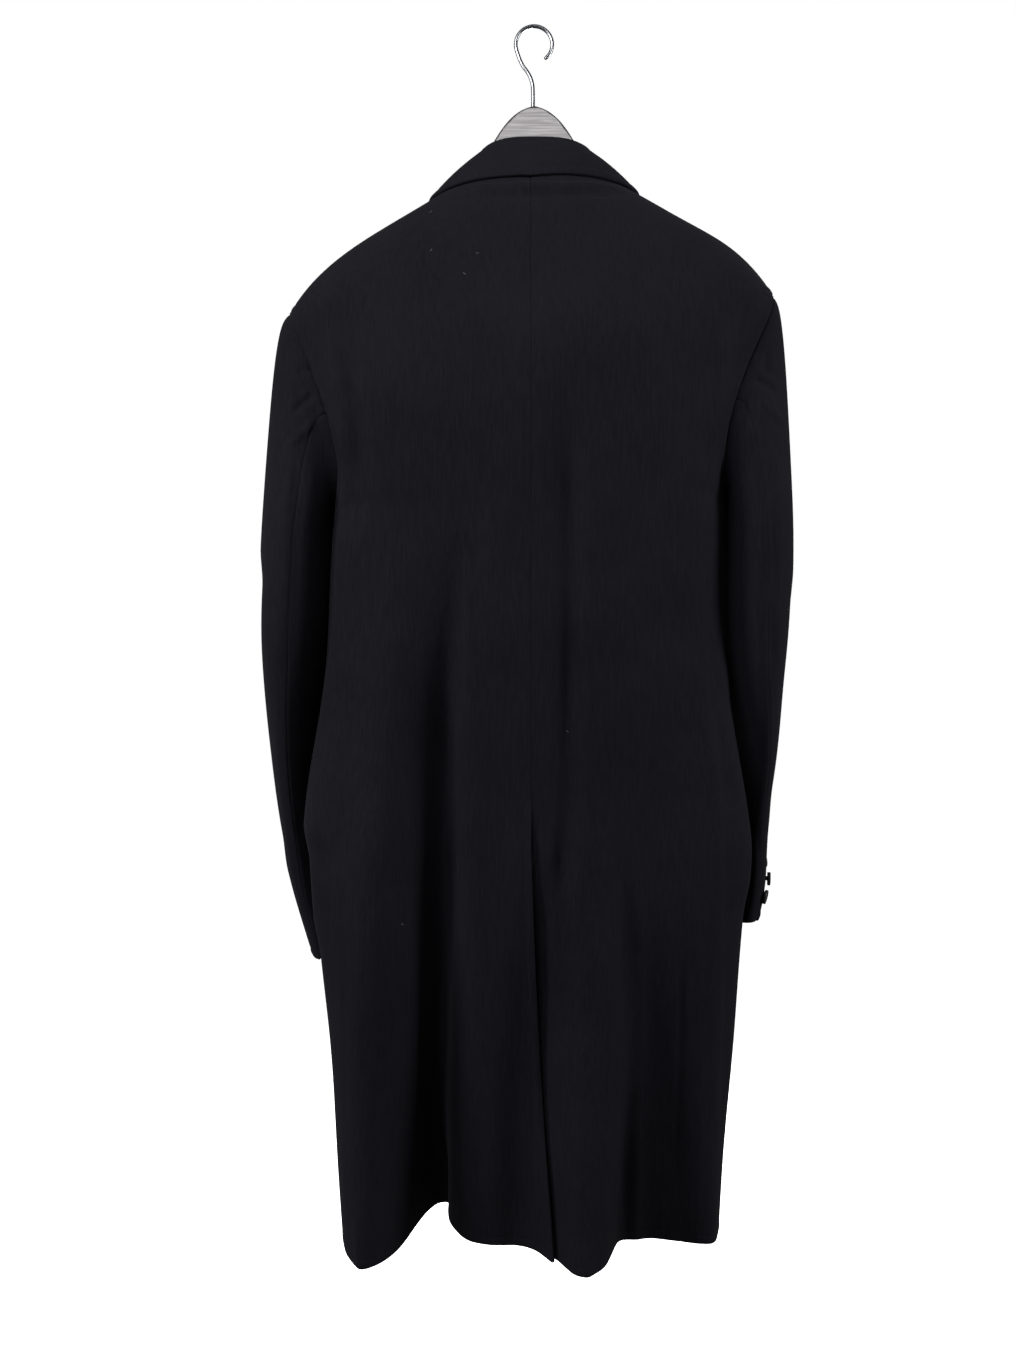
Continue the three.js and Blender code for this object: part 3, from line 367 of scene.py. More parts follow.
def rim_faces(panel):
    """The faces of a panel's rim, as their corners and their centres."""
    group = panel.vertex_groups["rim"].index
    on_rim = [any(g.group == group and g.weight > RIM_WEIGHT for g in v.groups)
              for v in panel.data.vertices]
    faces = [f for f in panel.data.polygons if all(on_rim[i] for i in f.vertices)]
    return [list(f.vertices) for f in faces], [f.center.copy() for f in faces]


def search_tree(panel, faces):
    if not faces:
        return None
    return BVHTree.FromPolygons([v.co for v in panel.data.vertices], faces)


def is_near(tree, point):
    return tree is not None and tree.find_nearest(point, SEAM_REACH)[0] is not None


rims = {node: rim_faces(panel) for node, panel in panels.items()}
rim_trees = {node: search_tree(panels[node], rims[node][0]) for node in panels}
edge_trees = {}
for node, panel in panels.items():
    kinds = {"seam": [], "armhole": [], "edge": []}
    for face, centre in zip(*rims[node]):
        touching = [n for n, tree in rim_trees.items() if n != node and is_near(tree, centre)]
        across = [n for n in touching if n.startswith("sleeve") != node.startswith("sleeve")]
        if across:
            kinds["armhole"].append(face)
        if not touching:
            kinds["edge"].append(face)
        elif touching != [FOLDED.get(node)]:
            kinds["seam"].append(face)
    edge_trees[node] = {kind: search_tree(panel, faces) for kind, faces in kinds.items()}
    print(node, {kind: len(faces) for kind, faces in kinds.items()})


def distances(panel, tree):
    """How far each point of a panel is from the nearest face of a tree, in metres."""
    if tree is None:
        return np.full(len(panel.data.vertices), FAR)
    return np.array([tree.find_nearest(v.co)[3] for v in panel.data.vertices])


def keep_measure(panel, name, metres):
    """Stores a measure on the panel's points, in millimetres, for its material to read."""
    measure = panel.data.attributes.new(name, "FLOAT", "POINT")
    values = np.minimum(metres / MM, MEASURE_LIMIT)
    measure.data.foreach_set("value", values.astype(np.float32))


measures = {}
for node, panel in panels.items():
    measures[node] = {kind: distances(panel, tree) for kind, tree in edge_trees[node].items()}
    keep_measure(panel, "seam_mm", measures[node]["seam"])
    keep_measure(panel, "edge_mm", measures[node]["edge"])

# %% [markdown]
# ## Which way is out
#
# A crease moves both faces of the cloth the same way, so that it stays as thick as it was. The way
# out is therefore a smooth field round the body, or round each arm, and not the mesh's own
# normals, which point the other way on the inside and along the cloth at its rims. A sleeve's
# middle and half sizes are measured from the frame, band by band.

# %% The way out
BODY_WIDE, BODY_DEEP, BODY_MIDDLE_Y = 205 * MM, 92 * MM, -8 * MM
SHOULDER_Z, SHOULDER_TURN = -235 * MM, 90 * MM
BAND = 45 * MM


def points_of(piece):
    co = np.empty(len(piece.data.vertices) * 3, np.float32)
    piece.data.vertices.foreach_get("co", co)
    return co.reshape(-1, 3).astype(float)


def set_points(piece, co):
    piece.data.vertices.foreach_set("co", co.astype(np.float32).ravel())
    piece.data.update()


def measure_arm(side):
    """The middle and half sizes of a sleeve at even heights, from the cuff up."""
    names = (f"sleeve_{part}_{side}" for part in ("top", "under"))
    co = np.vstack([points_of(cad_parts[name]) for name in names])
    heights = np.arange(co[:, 2].min() + BAND / 2, co[:, 2].max(), BAND)
    rows = []
    for z in heights:
        band = co[np.abs(co[:, 2] - z) < BAND]
        low, high = band.min(0), band.max(0)
        rows.append([*(low + high)[:2] / 2, *(high - low)[:2] / 2])
    return heights, np.array(rows)


arms = {side: measure_arm(side) for side in ("left", "right")}


def way_out(node, co):
    """Unit vectors out of the body, or out of the arm, at some points."""
    if node.startswith("sleeve"):
        heights, rows = arms["left" if node.endswith("left") else "right"]
        middle_x, middle_y, wide, deep = [np.interp(co[:, 2], heights, row) for row in rows.T]
        out = np.stack([(co[:, 0] - middle_x) / wide ** 2, (co[:, 1] - middle_y) / deep ** 2,
                        np.zeros(len(co))], axis=1)
    else:
        x, y = co[:, 0] / BODY_WIDE, (co[:, 1] - BODY_MIDDLE_Y) / BODY_DEEP
        up = np.clip((co[:, 2] - SHOULDER_Z) / SHOULDER_TURN, 0, 1)
        out = np.stack([x / BODY_WIDE, y / BODY_DEEP, up / BODY_DEEP], axis=1)
    return out / np.maximum(np.linalg.norm(out, axis=1, keepdims=True), 1e-9)


print("arm sections:", {side: len(rows[0]) for side, rows in arms.items()})

# %% [markdown]
# ## Creases and pressed seams
#
# The large folds are in the frame. What is left for the cloth is smaller: the roll that the collar
# pushes up across the back, soft drags beside the armholes, puckers where the sleeve's fullness
# was eased in, a dent in each cuff, and the pressed channel of every seam. Each crease is placed
# as a path down the coat, with its own width on either side, so that no two are alike.
#
# A cloth simulation would bring folds of its own that nobody placed. Moving the points by a table
# keeps each crease where a tailor would see it.

# %% The creases, in millimetres
# on: pieces; face: 1 behind, -1 in front, 0 both; path: x and z down the crease; wide: its half
# widths on either side of the path; high: how far it stands out, below 0 a trough; fade: over what
# length it runs out at its first end.
FADE = 40
Crease = namedtuple("Crease", "on face path wide high fade", defaults=(FADE,))
BACKS = ("back_left", "back_right")
FRONTS = ("front_left", "front_right", "lapel_left", "lapel_right")
BODY = BACKS + FRONTS
ARM_LEFT = ("sleeve_top_left", "sleeve_under_left")
ARM_RIGHT = ("sleeve_top_right", "sleeve_under_right")
CREASES = [Crease(*row) for row in (
    # the roll that the collar pushes up across the back, and the crease under it
    (BACKS, 1, [(-96, -176), (-30, -181), (30, -182), (104, -178)], (6, 6), 3.0),
    (BACKS, 1, [(-92, -186), (-20, -191), (30, -192), (100, -189)], (6, 6), -2.4),
    # the back, either side of its seam
    (BACKS, 1, [(-28, -280), (-31, -580), (-28, -860)], (18, 22), -6.0, 240),
    (BACKS, 1, [(-54, -420), (-58, -700), (-50, -860)], (20, 26), 2.2),
    (BACKS, 1, [(-116, -430), (-132, -600), (-138, -740)], (24, 20), -2.4),
    (BACKS, 1, [(72, -500), (76, -640), (84, -760)], (22, 14), -2.6),
    (BACKS, 1, [(38, -460), (44, -700), (52, -900)], (18, 18), 1.6),
    (BACKS, 1, [(128, -520), (138, -720), (148, -900)], (26, 22), 1.8),
    # the sides swell towards the arms, which leaves no light between them, and hang in below
    (BODY, 0, [(204, -390), (202, -520), (206, -680), (216, -830)], (40, 40), 8.5),
    (BODY, 0, [(-194, -400), (-190, -520), (-192, -680)], (40, 40), 2.8),
    (BACKS, 1, [(-180, -400), (-171, -520), (-172, -680), (-188, -790)], (12, 16), -4.5, 60),
    (BODY, 0, [(216, -880), (202, -1080), (190, -1300)], (50, 50), -6.0),
    (BODY, 0, [(-208, -840), (-194, -1080), (-184, -1300)], (50, 50), -4.5),
    # drags beside the armholes
    (BACKS, 1, [(196, -312), (187, -380), (181, -440), (176, -500)], (7, 13), 2.8),
    (BACKS, 1, [(178, -330), (168, -400), (164, -470)], (10, 14), -1.8),
    (BACKS, 1, [(-192, -300), (-184, -360), (-176, -430), (-170, -490)], (13, 7), 3.0),
    (BACKS, 1, [(-174, -320), (-164, -390), (-158, -460)], (14, 10), -2.0),
    # the skirt of the back
    (BACKS, 1, [(-82, -760), (-83, -1000), (-80, -1300)], (12, 18), -8.0, 160),
    (BACKS, 1, [(-40, -760), (-42, -1000), (-40, -1250)], (22, 16), 2.6),
    (BACKS, 1, [(-64, -880), (-66, -1020), (-62, -1240)], (12, 7), 2.4),
    (BACKS, 1, [(-141, -845), (-143, -980), (-139, -1140)], (12, 10), -3.4, 120),
    (BACKS, 1, [(-168, -700), (-174, -900), (-168, -1240)], (14, 10), 2.4),
    (BACKS, 1, [(28, -880), (34, -1040), (38, -1240)], (20, 20), 1.8),
    (BACKS, 1, [(66, -760), (78, -960), (88, -1100)], (9, 16), 1.8),
    (BACKS, 1, [(176, -880), (176, -1040), (166, -1240)], (10, 16), -2.0),
    (BACKS, 1, [(88, -500), (90, -700), (95, -860), (100, -1060), (104, -1300)],
     (52, 24), -16.0, 260),
    (BACKS, 1, [(60, -500), (61, -700), (68, -880), (75, -1060), (82, -1300)], (14, 26), 5.6, 220),
    (BACKS, 1, [(122, -600), (124, -820), (128, -1000), (126, -1300)], (34, 26), -8.0, 200),
    (BACKS, 1, [(160, -760), (168, -960), (166, -1250)], (20, 26), 2.6),
    # the vent: its upper edge stands a little off, and shades the cloth under it
    (("back_left",), 1, [(3, -800), (-4, -960), (-18, -1260)], (16, 22), 2.4),
    (("back_right",), 1, [(-4, -840), (-14, -980), (-26, -1260)], (18, 12), -2.2),
    # the fronts, which nobody straightened either
    (FRONTS, -1, [(188, -330), (176, -420), (172, -500)], (8, 14), 2.6),
    (FRONTS, -1, [(-186, -320), (-176, -410), (-170, -490)], (14, 8), 2.6),
    (FRONTS, -1, [(112, -480), (98, -640), (104, -860)], (24, 18), 2.4),
    (FRONTS, -1, [(-106, -470), (-94, -650), (-98, -880)], (18, 26), 2.4),
    (FRONTS, -1, [(16, -532), (60, -548), (120, -590)], (9, 13), -1.8),
    (FRONTS, -1, [(-30, -534), (-70, -552), (-120, -600)], (9, 13), -1.6),
    (FRONTS, -1, [(18, -652), (64, -664), (110, -700)], (10, 12), -1.4),
    (FRONTS, -1, [(52, -800), (60, -980), (66, -1240)], (20, 16), 2.8),
    (FRONTS, -1, [(-58, -820), (-62, -1000), (-58, -1240)], (14, 22), 2.6),
    (FRONTS, -1, [(128, -860), (132, -1020), (138, -1240)], (16, 20), -2.4),
    # puckers at the sleeve heads, where the fullness was eased in
    (ARM_RIGHT, 1, [(-223, -340), (-222, -352)], (7, 8), -2.6),
    (ARM_RIGHT, 1, [(-214, -364), (-230, -372)], (5, 5), -2.2),
    (ARM_RIGHT, 1, [(-220, -388), (-234, -400)], (6, 8), 1.6),
    (ARM_LEFT, 1, [(212, -352), (226, -354)], (5, 6), -2.2),
    (ARM_LEFT, 1, [(216, -380), (230, -392)], (5, 6), -2.2),
    (ARM_LEFT, 1, [(214, -408), (232, -424)], (8, 7), 1.8),
    (ARM_RIGHT, -1, [(-216, -350), (-230, -360)], (6, 7), -2.2),
    (ARM_LEFT, -1, [(218, -356), (234, -368)], (6, 7), -2.2),
    (ARM_LEFT, 0, [(268, -520), (268, -740), (262, -850)], (28, 28), -3.5),
    (ARM_RIGHT, 0, [(-256, -540), (-254, -700), (-252, -800)], (28, 28), -2.5),
    # the arms: long drags, the bend of the elbow, and a dent above each cuff
    (ARM_LEFT, 1, [(226, -430), (232, -560), (238, -660)], (9, 12), -2.2),
    (ARM_RIGHT, 1, [(-226, -430), (-226, -560), (-228, -660)], (12, 9), -2.2),
    (ARM_LEFT, -1, [(222, -640), (246, -668)], (8, 10), -3.0),
    (ARM_LEFT, -1, [(220, -690), (250, -700)], (9, 8), -2.6),
    (ARM_LEFT, -1, [(222, -664), (250, -684)], (9, 9), 2.0),
    (ARM_RIGHT, -1, [(-206, -626), (-230, -652)], (8, 10), -3.0),
    (ARM_RIGHT, -1, [(-206, -676), (-236, -690)], (9, 8), -2.6),
    (ARM_RIGHT, -1, [(-206, -650), (-236, -672)], (9, 9), 2.0),
    (ARM_LEFT, 1, [(233, -800), (231, -806)], (8, 7), -2.8),
    (ARM_RIGHT, 1, [(-228, -806), (-226, -812)], (7, 7), -2.4),
)]
print("creases:", len(CREASES))

# %% [markdown]
# The moves are added up for each panel and then made in one go along the way out. A trough is a
# soft bell across its path, wider on one side, and its depth wavers along the way. A seam sinks by
# less than a millimetre between the two ridges of its pressed allowances, and a free edge is a
# little thicker than the cloth, because the cloth is turned in there. Near the armholes all moves
# fade out, so that body and sleeve stay joined.

# %% Moving the cloth
FREE_RUN = 60        # a path shorter than this has round ends and needs no fading
SEAM_SINKS = (0.2, 2.0)      # depth and half width, in millimetres
ALLOWANCE = (0.4, 10, 6)      # height, distance from the seam and half width
TURNED_EDGE = (0.5, 3, 4)
STITCHED_ROW = (0.35, 7, 2.5)
SWAY = 0.9           # the cloth's general unevenness
ARMHOLE_FADE = 9
WAVER, WAVER_LENGTH, WAVER_SHIFT = 0.22, 37, 2.1  # the uneven height along a crease
EDGE_ON, TURNS_AWAY = 0.15, 3  # how soon a crease ends where the cloth turns to the side
CLOTH_SHARP = math.radians(50)


def bell(distance, reach):
    return np.where(np.abs(distance) < reach, np.cos(np.pi / 2 * distance / reach) ** 2, 0)


def smooth_step(value):
    value = np.clip(value, 0, 1)
    return value * value * (3 - 2 * value)


def crease_height(crease, index, x, z):
    """How far one crease moves the cloth at some places."""
    nearest, height, run = np.full(len(x), np.inf), np.zeros(len(x)), 0.0
    path = crease.path
    length = sum(math.dist(a, b) for a, b in zip(path, path[1:]))
    for (ax, az), (bx, bz) in zip(path, path[1:]):
        dx, dz = bx - ax, bz - az
        step = math.hypot(dx, dz)
        part = np.clip(((x - ax) * dx + (z - az) * dz) / step ** 2, 0, 1)
        away = np.hypot(x - ax - part * dx, z - az - part * dz)
        on_left = dx * (z - az) - dz * (x - ax) > 0
        along = run + part * step
        level = bell(away, np.where(on_left, *crease.wide))
        if length > FREE_RUN:
            level *= smooth_step(along / crease.fade) * smooth_step((length - along) / FADE)
        level *= 1 + WAVER * np.sin(along / WAVER_LENGTH + WAVER_SHIFT * index)
        height = np.where(away < nearest, level, height)
        nearest = np.minimum(away, nearest)
        run += step
    return crease.high * height


def seam_height(seam, edge):
    depth, reach = SEAM_SINKS
    high, place, width = ALLOWANCE
    turned, turned_place, turned_width = TURNED_EDGE
    row, row_place, row_width = STITCHED_ROW
    return (high * bell(seam - place, width) - depth * bell(seam, reach)
            + turned * bell(edge - turned_place, turned_width)
            - row * bell(edge - row_place, row_width))


def sway_height(x, y, z):
    return SWAY * (0.5 * np.sin(x / 43 + z / 131 + 0.7) * np.cos(z / 89 + y / 60)
                   + 0.5 * np.sin(z / 57 - x / 97 + 1.9) * np.cos(x / 71 - z / 160 + 0.4))


for node, panel in panels.items():
    co = points_of(panel)
    out = way_out(node, co)
    x, y, z = (co / MM).T
    height = sway_height(x, y, z)
    for index, crease in enumerate(CREASES):
        if node in crease.on:
            seen = 1
            if crease.face:
                seen = np.clip(EDGE_ON + TURNS_AWAY * crease.face * out[:, 1], 0, 1)
            height += seen * crease_height(crease, index, x, z)
    height *= smooth_step(measures[node]["armhole"] / MM / ARMHOLE_FADE)
    height += seam_height(measures[node]["seam"] / MM, measures[node]["edge"] / MM)
    set_points(panel, co + out * height[:, None] * MM)
    select_only(panel)
    bpy.ops.object.shade_smooth_by_angle(angle=CLOTH_SHARP)
    panel.data.materials.clear()
    panel.data.materials.append(wool_coating)
    least, most = (round(float(value), 1) for value in (height.min(), height.max()))
    print(node, "moved by", least, "to", most, "mm")

# %% [markdown]
# The frame keeps its pieces 0.3 mm apart, so that each stays a solid of its own. Stitches leave no
# such gap, and light would shine through it. Each point on a seam's rim goes a little more
# than half of the way to the rim that it faces, so that the two meet.

# %% Closing the seams
MEETING = 0.53  # a share of the way to the facing rim
ON_THE_RIM = 0.01 * MM

seam_rims = {}
for node, panel in panels.items():
    faces = [face for face, _ in zip(*rims[node])]
    seam_rims[node] = search_tree(panel, faces)
moves = {}
for node, panel in panels.items():
    near = np.minimum(measures[node]["seam"], measures[node]["armhole"]) < ON_THE_RIM
    others = [tree for name, tree in seam_rims.items() if name not in (node, FOLDED.get(node))]
    moves[node] = points_of(panel)
    for index in np.flatnonzero(near):
        point = Vector(moves[node][index])
        found = [tree.find_nearest(point, SEAM_REACH) for tree in others]
        found = [(hit[3], hit[0]) for hit in found if hit[0] is not None]
        if found:
            moves[node][index] = point.lerp(min(found, key=lambda hit: hit[0])[1], MEETING)
for node, panel in panels.items():
    set_points(panel, moves[node])
print("seams closed on", len(moves), "panels")

# %% [markdown]
# ## Horn buttons
#
# Buttons of real horn are sawn from a sheet, turned to a dished face with a raised rim, drilled
# four times and polished. Horn is near black with paler smoky streaks, and its polish gives small
# clear lights.
#
# One button is turned from a cylinder by insets, and its holes are cut by a boolean. Every other
# one is a copy with a mesh of its own, put on the place and slant of its node in the frame.

# %% Polished horn and sewing thread
def make_horn():
    horn, shader = new_material("polished_dark_horn")
    place = add_node(horn, "ShaderNodeTexCoord").outputs["Object"]
    smoke = add_node(horn, "ShaderNodeTexNoise", Vector=place, Scale=1 / (9 * MM), Detail=3.0,
                     Distortion=1.2).outputs["Fac"]
    colour = add_node(horn, "ShaderNodeValToRGB", Fac=smoke)
    dark, light = colour.color_ramp.elements
    dark.position, dark.color = 0.42, linear("#0e0d0f")
    light.position, light.color = 0.78, linear("#3a3431")
    feed(shader, "Base Color", colour.outputs["Color"])
    turning = add_node(horn, "ShaderNodeTexNoise", Vector=place, Scale=1 / (1.5 * MM), Detail=2.0)
    bump = add_node(horn, "ShaderNodeBump", Strength=0.15, Distance=0.1 * MM,
                    Height=turning.outputs["Fac"])
    feed(shader, "Normal", bump.outputs["Normal"])
    shader.inputs["Roughness"].default_value = 0.4
    shader.inputs["IOR"].default_value = 1.5
    return horn


def make_thread():
    thread, shader = new_material("twisted_black_thread")
    place = add_node(thread, "ShaderNodeTexCoord").outputs["Object"]
    twist = add_node(thread, "ShaderNodeTexWave", {"bands_direction": "DIAGONAL"}, Vector=place,
                     Scale=1 / (2.2 * MM), Distortion=1.0).outputs["Fac"]
    colour = add_node(thread, "ShaderNodeValToRGB", Fac=twist)
    colour.color_ramp.elements[0].color = linear("#08080a")
    colour.color_ramp.elements[1].color = linear("#26262c")
    feed(shader, "Base Color", colour.outputs["Color"])
    bump = add_node(thread, "ShaderNodeBump", Strength=0.5, Distance=0.15 * MM, Height=twist)
    feed(shader, "Normal", bump.outputs["Normal"])
    shader.inputs["Roughness"].default_value = 0.6
    shader.inputs["Specular IOR Level"].default_value = 0.25
    return thread


polished_horn = make_horn()
black_thread = make_thread()

# %% [markdown]
# The profile comes from three insets of the top face: the rim, the slope into the dish and the
# flat bottom, which is drilled. Two bars of thread cross the bottom. Each is a flattened ring that
# dips into its holes, doubled because a tailor sews with doubled thread. Behind the button the
# thread is wound into a short shank that reaches into the cloth.

# %% One button of each size
SHANK_LENGTH, SHANK_BITE, SHANK_SPREAD = 3.2, 0.4, 1.4
BUTTON_SIZES = {
    "front_button": dict(radius=12.5, thick=4.0, rim=1.9, dish=1.2, hole=1.15, pitch=2.5),
    "cuff_button": dict(radius=7.5, thick=3.0, rim=1.3, dish=0.9, hole=0.85, pitch=1.7),
}


def select_faces(piece, wanted):
    """Selects the faces of a mesh in edit mode for which a test holds."""
    mesh = bmesh.from_edit_mesh(piece.data)
    for face in mesh.faces:
        face.select_set(wanted(face))
    bmesh.update_edit_mesh(piece.data)


def apply_modifier(piece, kind, **settings):
    select_only(piece)
    modifier = piece.modifiers.new(kind.lower(), kind)
    for name, value in settings.items():
        setattr(modifier, name, value)
    bpy.ops.object.modifier_apply(modifier=modifier.name)


def join_pieces(pieces, name):
    select_only(pieces[0])
    for piece in pieces:
        piece.select_set(True)
    bpy.ops.object.join()
    pieces[0].name = pieces[0].data.name = name
    return pieces[0]


def turn_button(name, radius, thick, rim, dish, hole, pitch):
    """A button with its back on z = 0, and its threads as a piece of their own."""
    bpy.ops.object.select_all(action="DESELECT")
    bpy.ops.mesh.primitive_cylinder_add(vertices=48, radius=radius * MM, depth=thick * MM,
                                        location=(0, 0, thick / 2 * MM))
    button = bpy.context.active_object
    bpy.ops.object.transform_apply(location=True)
    bpy.ops.object.mode_set(mode="EDIT")
    bpy.ops.mesh.select_mode(type="FACE")
    select_faces(button, lambda face: face.normal.z > 0.9)
    bpy.ops.mesh.inset(thickness=rim * MM)
    bpy.ops.mesh.inset(thickness=rim * MM)
    bpy.ops.transform.translate(value=(0, 0, -dish * MM))
    bpy.ops.mesh.inset(thickness=rim * MM)
    select_faces(button, lambda face: face.normal.z < -0.9)
    bpy.ops.mesh.inset(thickness=rim * MM)
    bpy.ops.transform.translate(value=(0, 0, -0.1 * MM))
    bpy.ops.object.mode_set(mode="OBJECT")
    apply_modifier(button, "BEVEL", width=0.55 * MM, segments=3, limit_method="ANGLE",
                   angle_limit=math.radians(25))
    drills = []
    for across, down in ((1, 1), (1, -1), (-1, -1), (-1, 1)):
        bpy.ops.mesh.primitive_cylinder_add(
            vertices=16, radius=hole * MM, depth=3 * thick * MM,
            location=(across * pitch * MM, down * pitch * MM, thick / 2 * MM))
        drills.append(bpy.context.active_object)
    drill = join_pieces(drills, "drill")
    apply_modifier(button, "BOOLEAN", operation="DIFFERENCE", object=drill, solver="EXACT")
    bpy.data.objects.remove(drill)
    button.name = button.data.name = name
    button.data.materials.append(polished_horn)
    bpy.ops.object.shade_smooth_by_angle(angle=math.radians(35))
    strands = []
    for side in (1, -1):
        for offset in (-0.5, 0.5):
            bpy.ops.mesh.primitive_torus_add(
                major_segments=24, minor_segments=8, major_radius=pitch * MM,
                minor_radius=0.45 * hole * MM, rotation=(math.radians(90), 0, 0),
                location=(0, (side * pitch + offset * 0.8 * hole) * MM, (thick - dish) * MM))
            strand = bpy.context.active_object
            strand.scale = (1, 0.45, 1)
            strands.append(strand)
    bpy.ops.mesh.primitive_cylinder_add(
        vertices=16, radius=SHANK_SPREAD * pitch * MM, depth=SHANK_LENGTH * MM,
        location=(0, 0, (SHANK_BITE - SHANK_LENGTH / 2) * MM))
    strands.append(bpy.context.active_object)
    threads = join_pieces(strands, name + "_threads")
    bpy.ops.object.transform_apply(location=True, rotation=True, scale=True)
    threads.data.materials.append(black_thread)
    bpy.ops.object.shade_smooth_by_angle(angle=math.radians(60))
    return button, threads


models = {name: turn_button(name + "_model", **size) for name, size in BUTTON_SIZES.items()}
print({name: len(button.data.polygons) for name, (button, _) in models.items()})

# %% [markdown]
# A button's node is a plain disc at the right place. The thinnest direction of its points is the
# button's axis, and the side away from the coat's middle is its face.

# %% Sewing the buttons on
COAT_MIDDLE = {"front": Vector((0, 60, -650)) * MM}
for side, sign in (("left", 1), ("right", -1)):
    COAT_MIDDLE[side] = Vector((sign * 215, -100, -880)) * MM


def seat_of(node):
    """Where the back of a button lies, and the matrix that puts a model there."""
    co = points_of(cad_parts[node])
    middle = co.mean(0)
    axis = Vector(np.linalg.svd(co - middle, full_matrices=False)[2][2])
    inside = COAT_MIDDLE["front" if node.startswith("front") else node.split("_")[2]]
    if axis.dot(Vector(middle) - inside) < 0:
        axis.negate()
    back = Vector(middle) + axis * float(((co - middle) @ np.array(axis)).min())
    down = Vector((0, 0, -1)) - axis * axis.dot(Vector((0, 0, -1)))
    down.normalize()
    turn = Matrix((down.cross(axis), down, axis)).transposed()
    return Matrix.Translation(back) @ turn.to_4x4()


def place_copy(model, name, seat):
    """A copy of a model, with its own mesh, put in its place."""
    piece = bpy.data.objects.new(name, model.data.copy())
    piece.data.name = name
    piece.data.transform(seat)
    bpy.context.scene.collection.objects.link(piece)
    return piece


buttons = {}
threads = []
for node in sorted(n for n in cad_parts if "_button_" in n):
    button, strands = models["front_button" if node.startswith("front") else "cuff_button"]
    seat = seat_of(node)
    buttons[node] = place_copy(button, node + "_horn", seat)
    threads.append(place_copy(strands, node + "_thread", seat))
for model_pair in models.values():
    for model in model_pair:
        bpy.data.objects.remove(model)
print("buttons:", len(buttons))

# %% [markdown]
# ## Buttonholes
#
# Each front button closes through a hole worked in silk twist: a slit across the front with close
# stitches all round it. The button sits at the end near the coat's edge and hides half of it.
#
# A circle stretched into a long loop and given a round section makes the cord of stitches. Rays
# cast at the front then lay it on the cloth.

# %% Buttonholes
HOLE_FROM, HOLE_TO, HOLE_HALF_WIDTH, HOLE_CORD = -3 * MM, 26 * MM, 1.9 * MM, 0.75 * MM


def lay_on(piece, panel):
    """Moves a flat piece back or forwards until its zero depth lies on a panel's front."""
    tree = BVHTree.FromObject(panel, bpy.context.evaluated_depsgraph_get())
    for vertex in piece.data.vertices:
        start = Vector((vertex.co.x, -1, vertex.co.z))
        vertex.co.y += tree.ray_cast(start, Vector((0, 1, 0)))[0].y


holes = []
for node in sorted(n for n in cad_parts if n.startswith("front_button_")):
    low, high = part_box(node)
    bpy.ops.object.select_all(action="DESELECT")
    bpy.ops.mesh.primitive_circle_add(vertices=28, radius=HOLE_HALF_WIDTH,
                                      location=(HOLE_FROM, 0, (low.z + high.z) / 2),
                                      rotation=(math.radians(90), 0, 0))
    hole = bpy.context.active_object
    bpy.ops.object.transform_apply(location=True, rotation=True)
    for vertex in hole.data.vertices:
        if vertex.co.x > HOLE_FROM + 0.01 * MM:
            vertex.co.x += HOLE_TO - HOLE_FROM
    bpy.ops.object.mode_set(mode="EDIT")
    bpy.ops.mesh.select_all(action="SELECT")
    bpy.ops.mesh.subdivide(number_cuts=3)
    bpy.ops.object.mode_set(mode="OBJECT")
    bpy.ops.object.convert(target="CURVE")
    hole.data.bevel_depth = HOLE_CORD
    hole.data.bevel_resolution = 2
    bpy.ops.object.convert(target="MESH")
    hole.name = hole.data.name = node.replace("button", "buttonhole")
    lay_on(hole, panels["front_left"])
    hole.data.materials.append(black_thread)
    bpy.ops.object.shade_smooth_by_angle(angle=math.radians(60))
    holes.append(hole)
print("buttonholes:", len(holes))

# %% [markdown]
# ## Lint
#
# Black wool picks up every pale fibre. A few cling to the back and one to a front, each a hair a
# few millimetres long. A curve with a round section makes one; it is turned at random from a fixed
# seed and laid on the cloth.

# %% Lint
LINT_RADIUS = 0.17 * MM
LINT = ((100, -204, 1.5), (99, -246, 1.7), (55, -249, 1.3), (67, -269, 1.4), (-81, -161, 1.3),
        (-30, -700, 1.2), (125, -880, 1.2))  # x, z and half length in millimetres
HIDDEN_LINT = ((-70, -620, 1.6), (96, -980, 1.4))  # the same, on the fronts


def make_lint():
    lint, shader = new_material("pale_lint_fibre")
    place = add_node(lint, "ShaderNodeTexCoord").outputs["Object"]
    speckle = add_node(lint, "ShaderNodeTexNoise", Vector=place, Scale=1 / (1.2 * MM))
    colour = add_node(lint, "ShaderNodeValToRGB", Fac=speckle.outputs["Fac"])
    colour.color_ramp.elements[0].color = linear("#4c4c50")
    colour.color_ramp.elements[1].color = linear("#8c8c90")
    feed(shader, "Base Color", colour.outputs["Color"])
    shader.inputs["Roughness"].default_value = 0.8
    return lint


def lay_fibre(x, z, half, behind, turn):
    """A fibre on the cloth that a ray from behind, or from the front, meets first."""
    start, ray = Vector((x * MM, 1 if behind else -1, z * MM)), Vector((0, -1 if behind else 1, 0))
    hits = [cloth_trees[node].ray_cast(start, ray) for node in BODY]
    place, normal = min((hit for hit in hits if hit[0]), key=lambda hit: hit[3])[:2]
    bpy.ops.object.select_all(action="DESELECT")
    bpy.ops.curve.primitive_bezier_curve_add(radius=half * MM)
    fibre = bpy.context.active_object
    fibre.data.bevel_depth, fibre.data.bevel_resolution = LINT_RADIUS, 1
    fibre.data.resolution_u = 6
    bpy.ops.object.convert(target="MESH")
    seat = normal.to_track_quat("Z", "X").to_matrix().to_4x4() @ Matrix.Rotation(turn, 4, "Z")
    fibre.data.transform(Matrix.Translation(place + normal * LINT_RADIUS) @ seat)
    return fibre


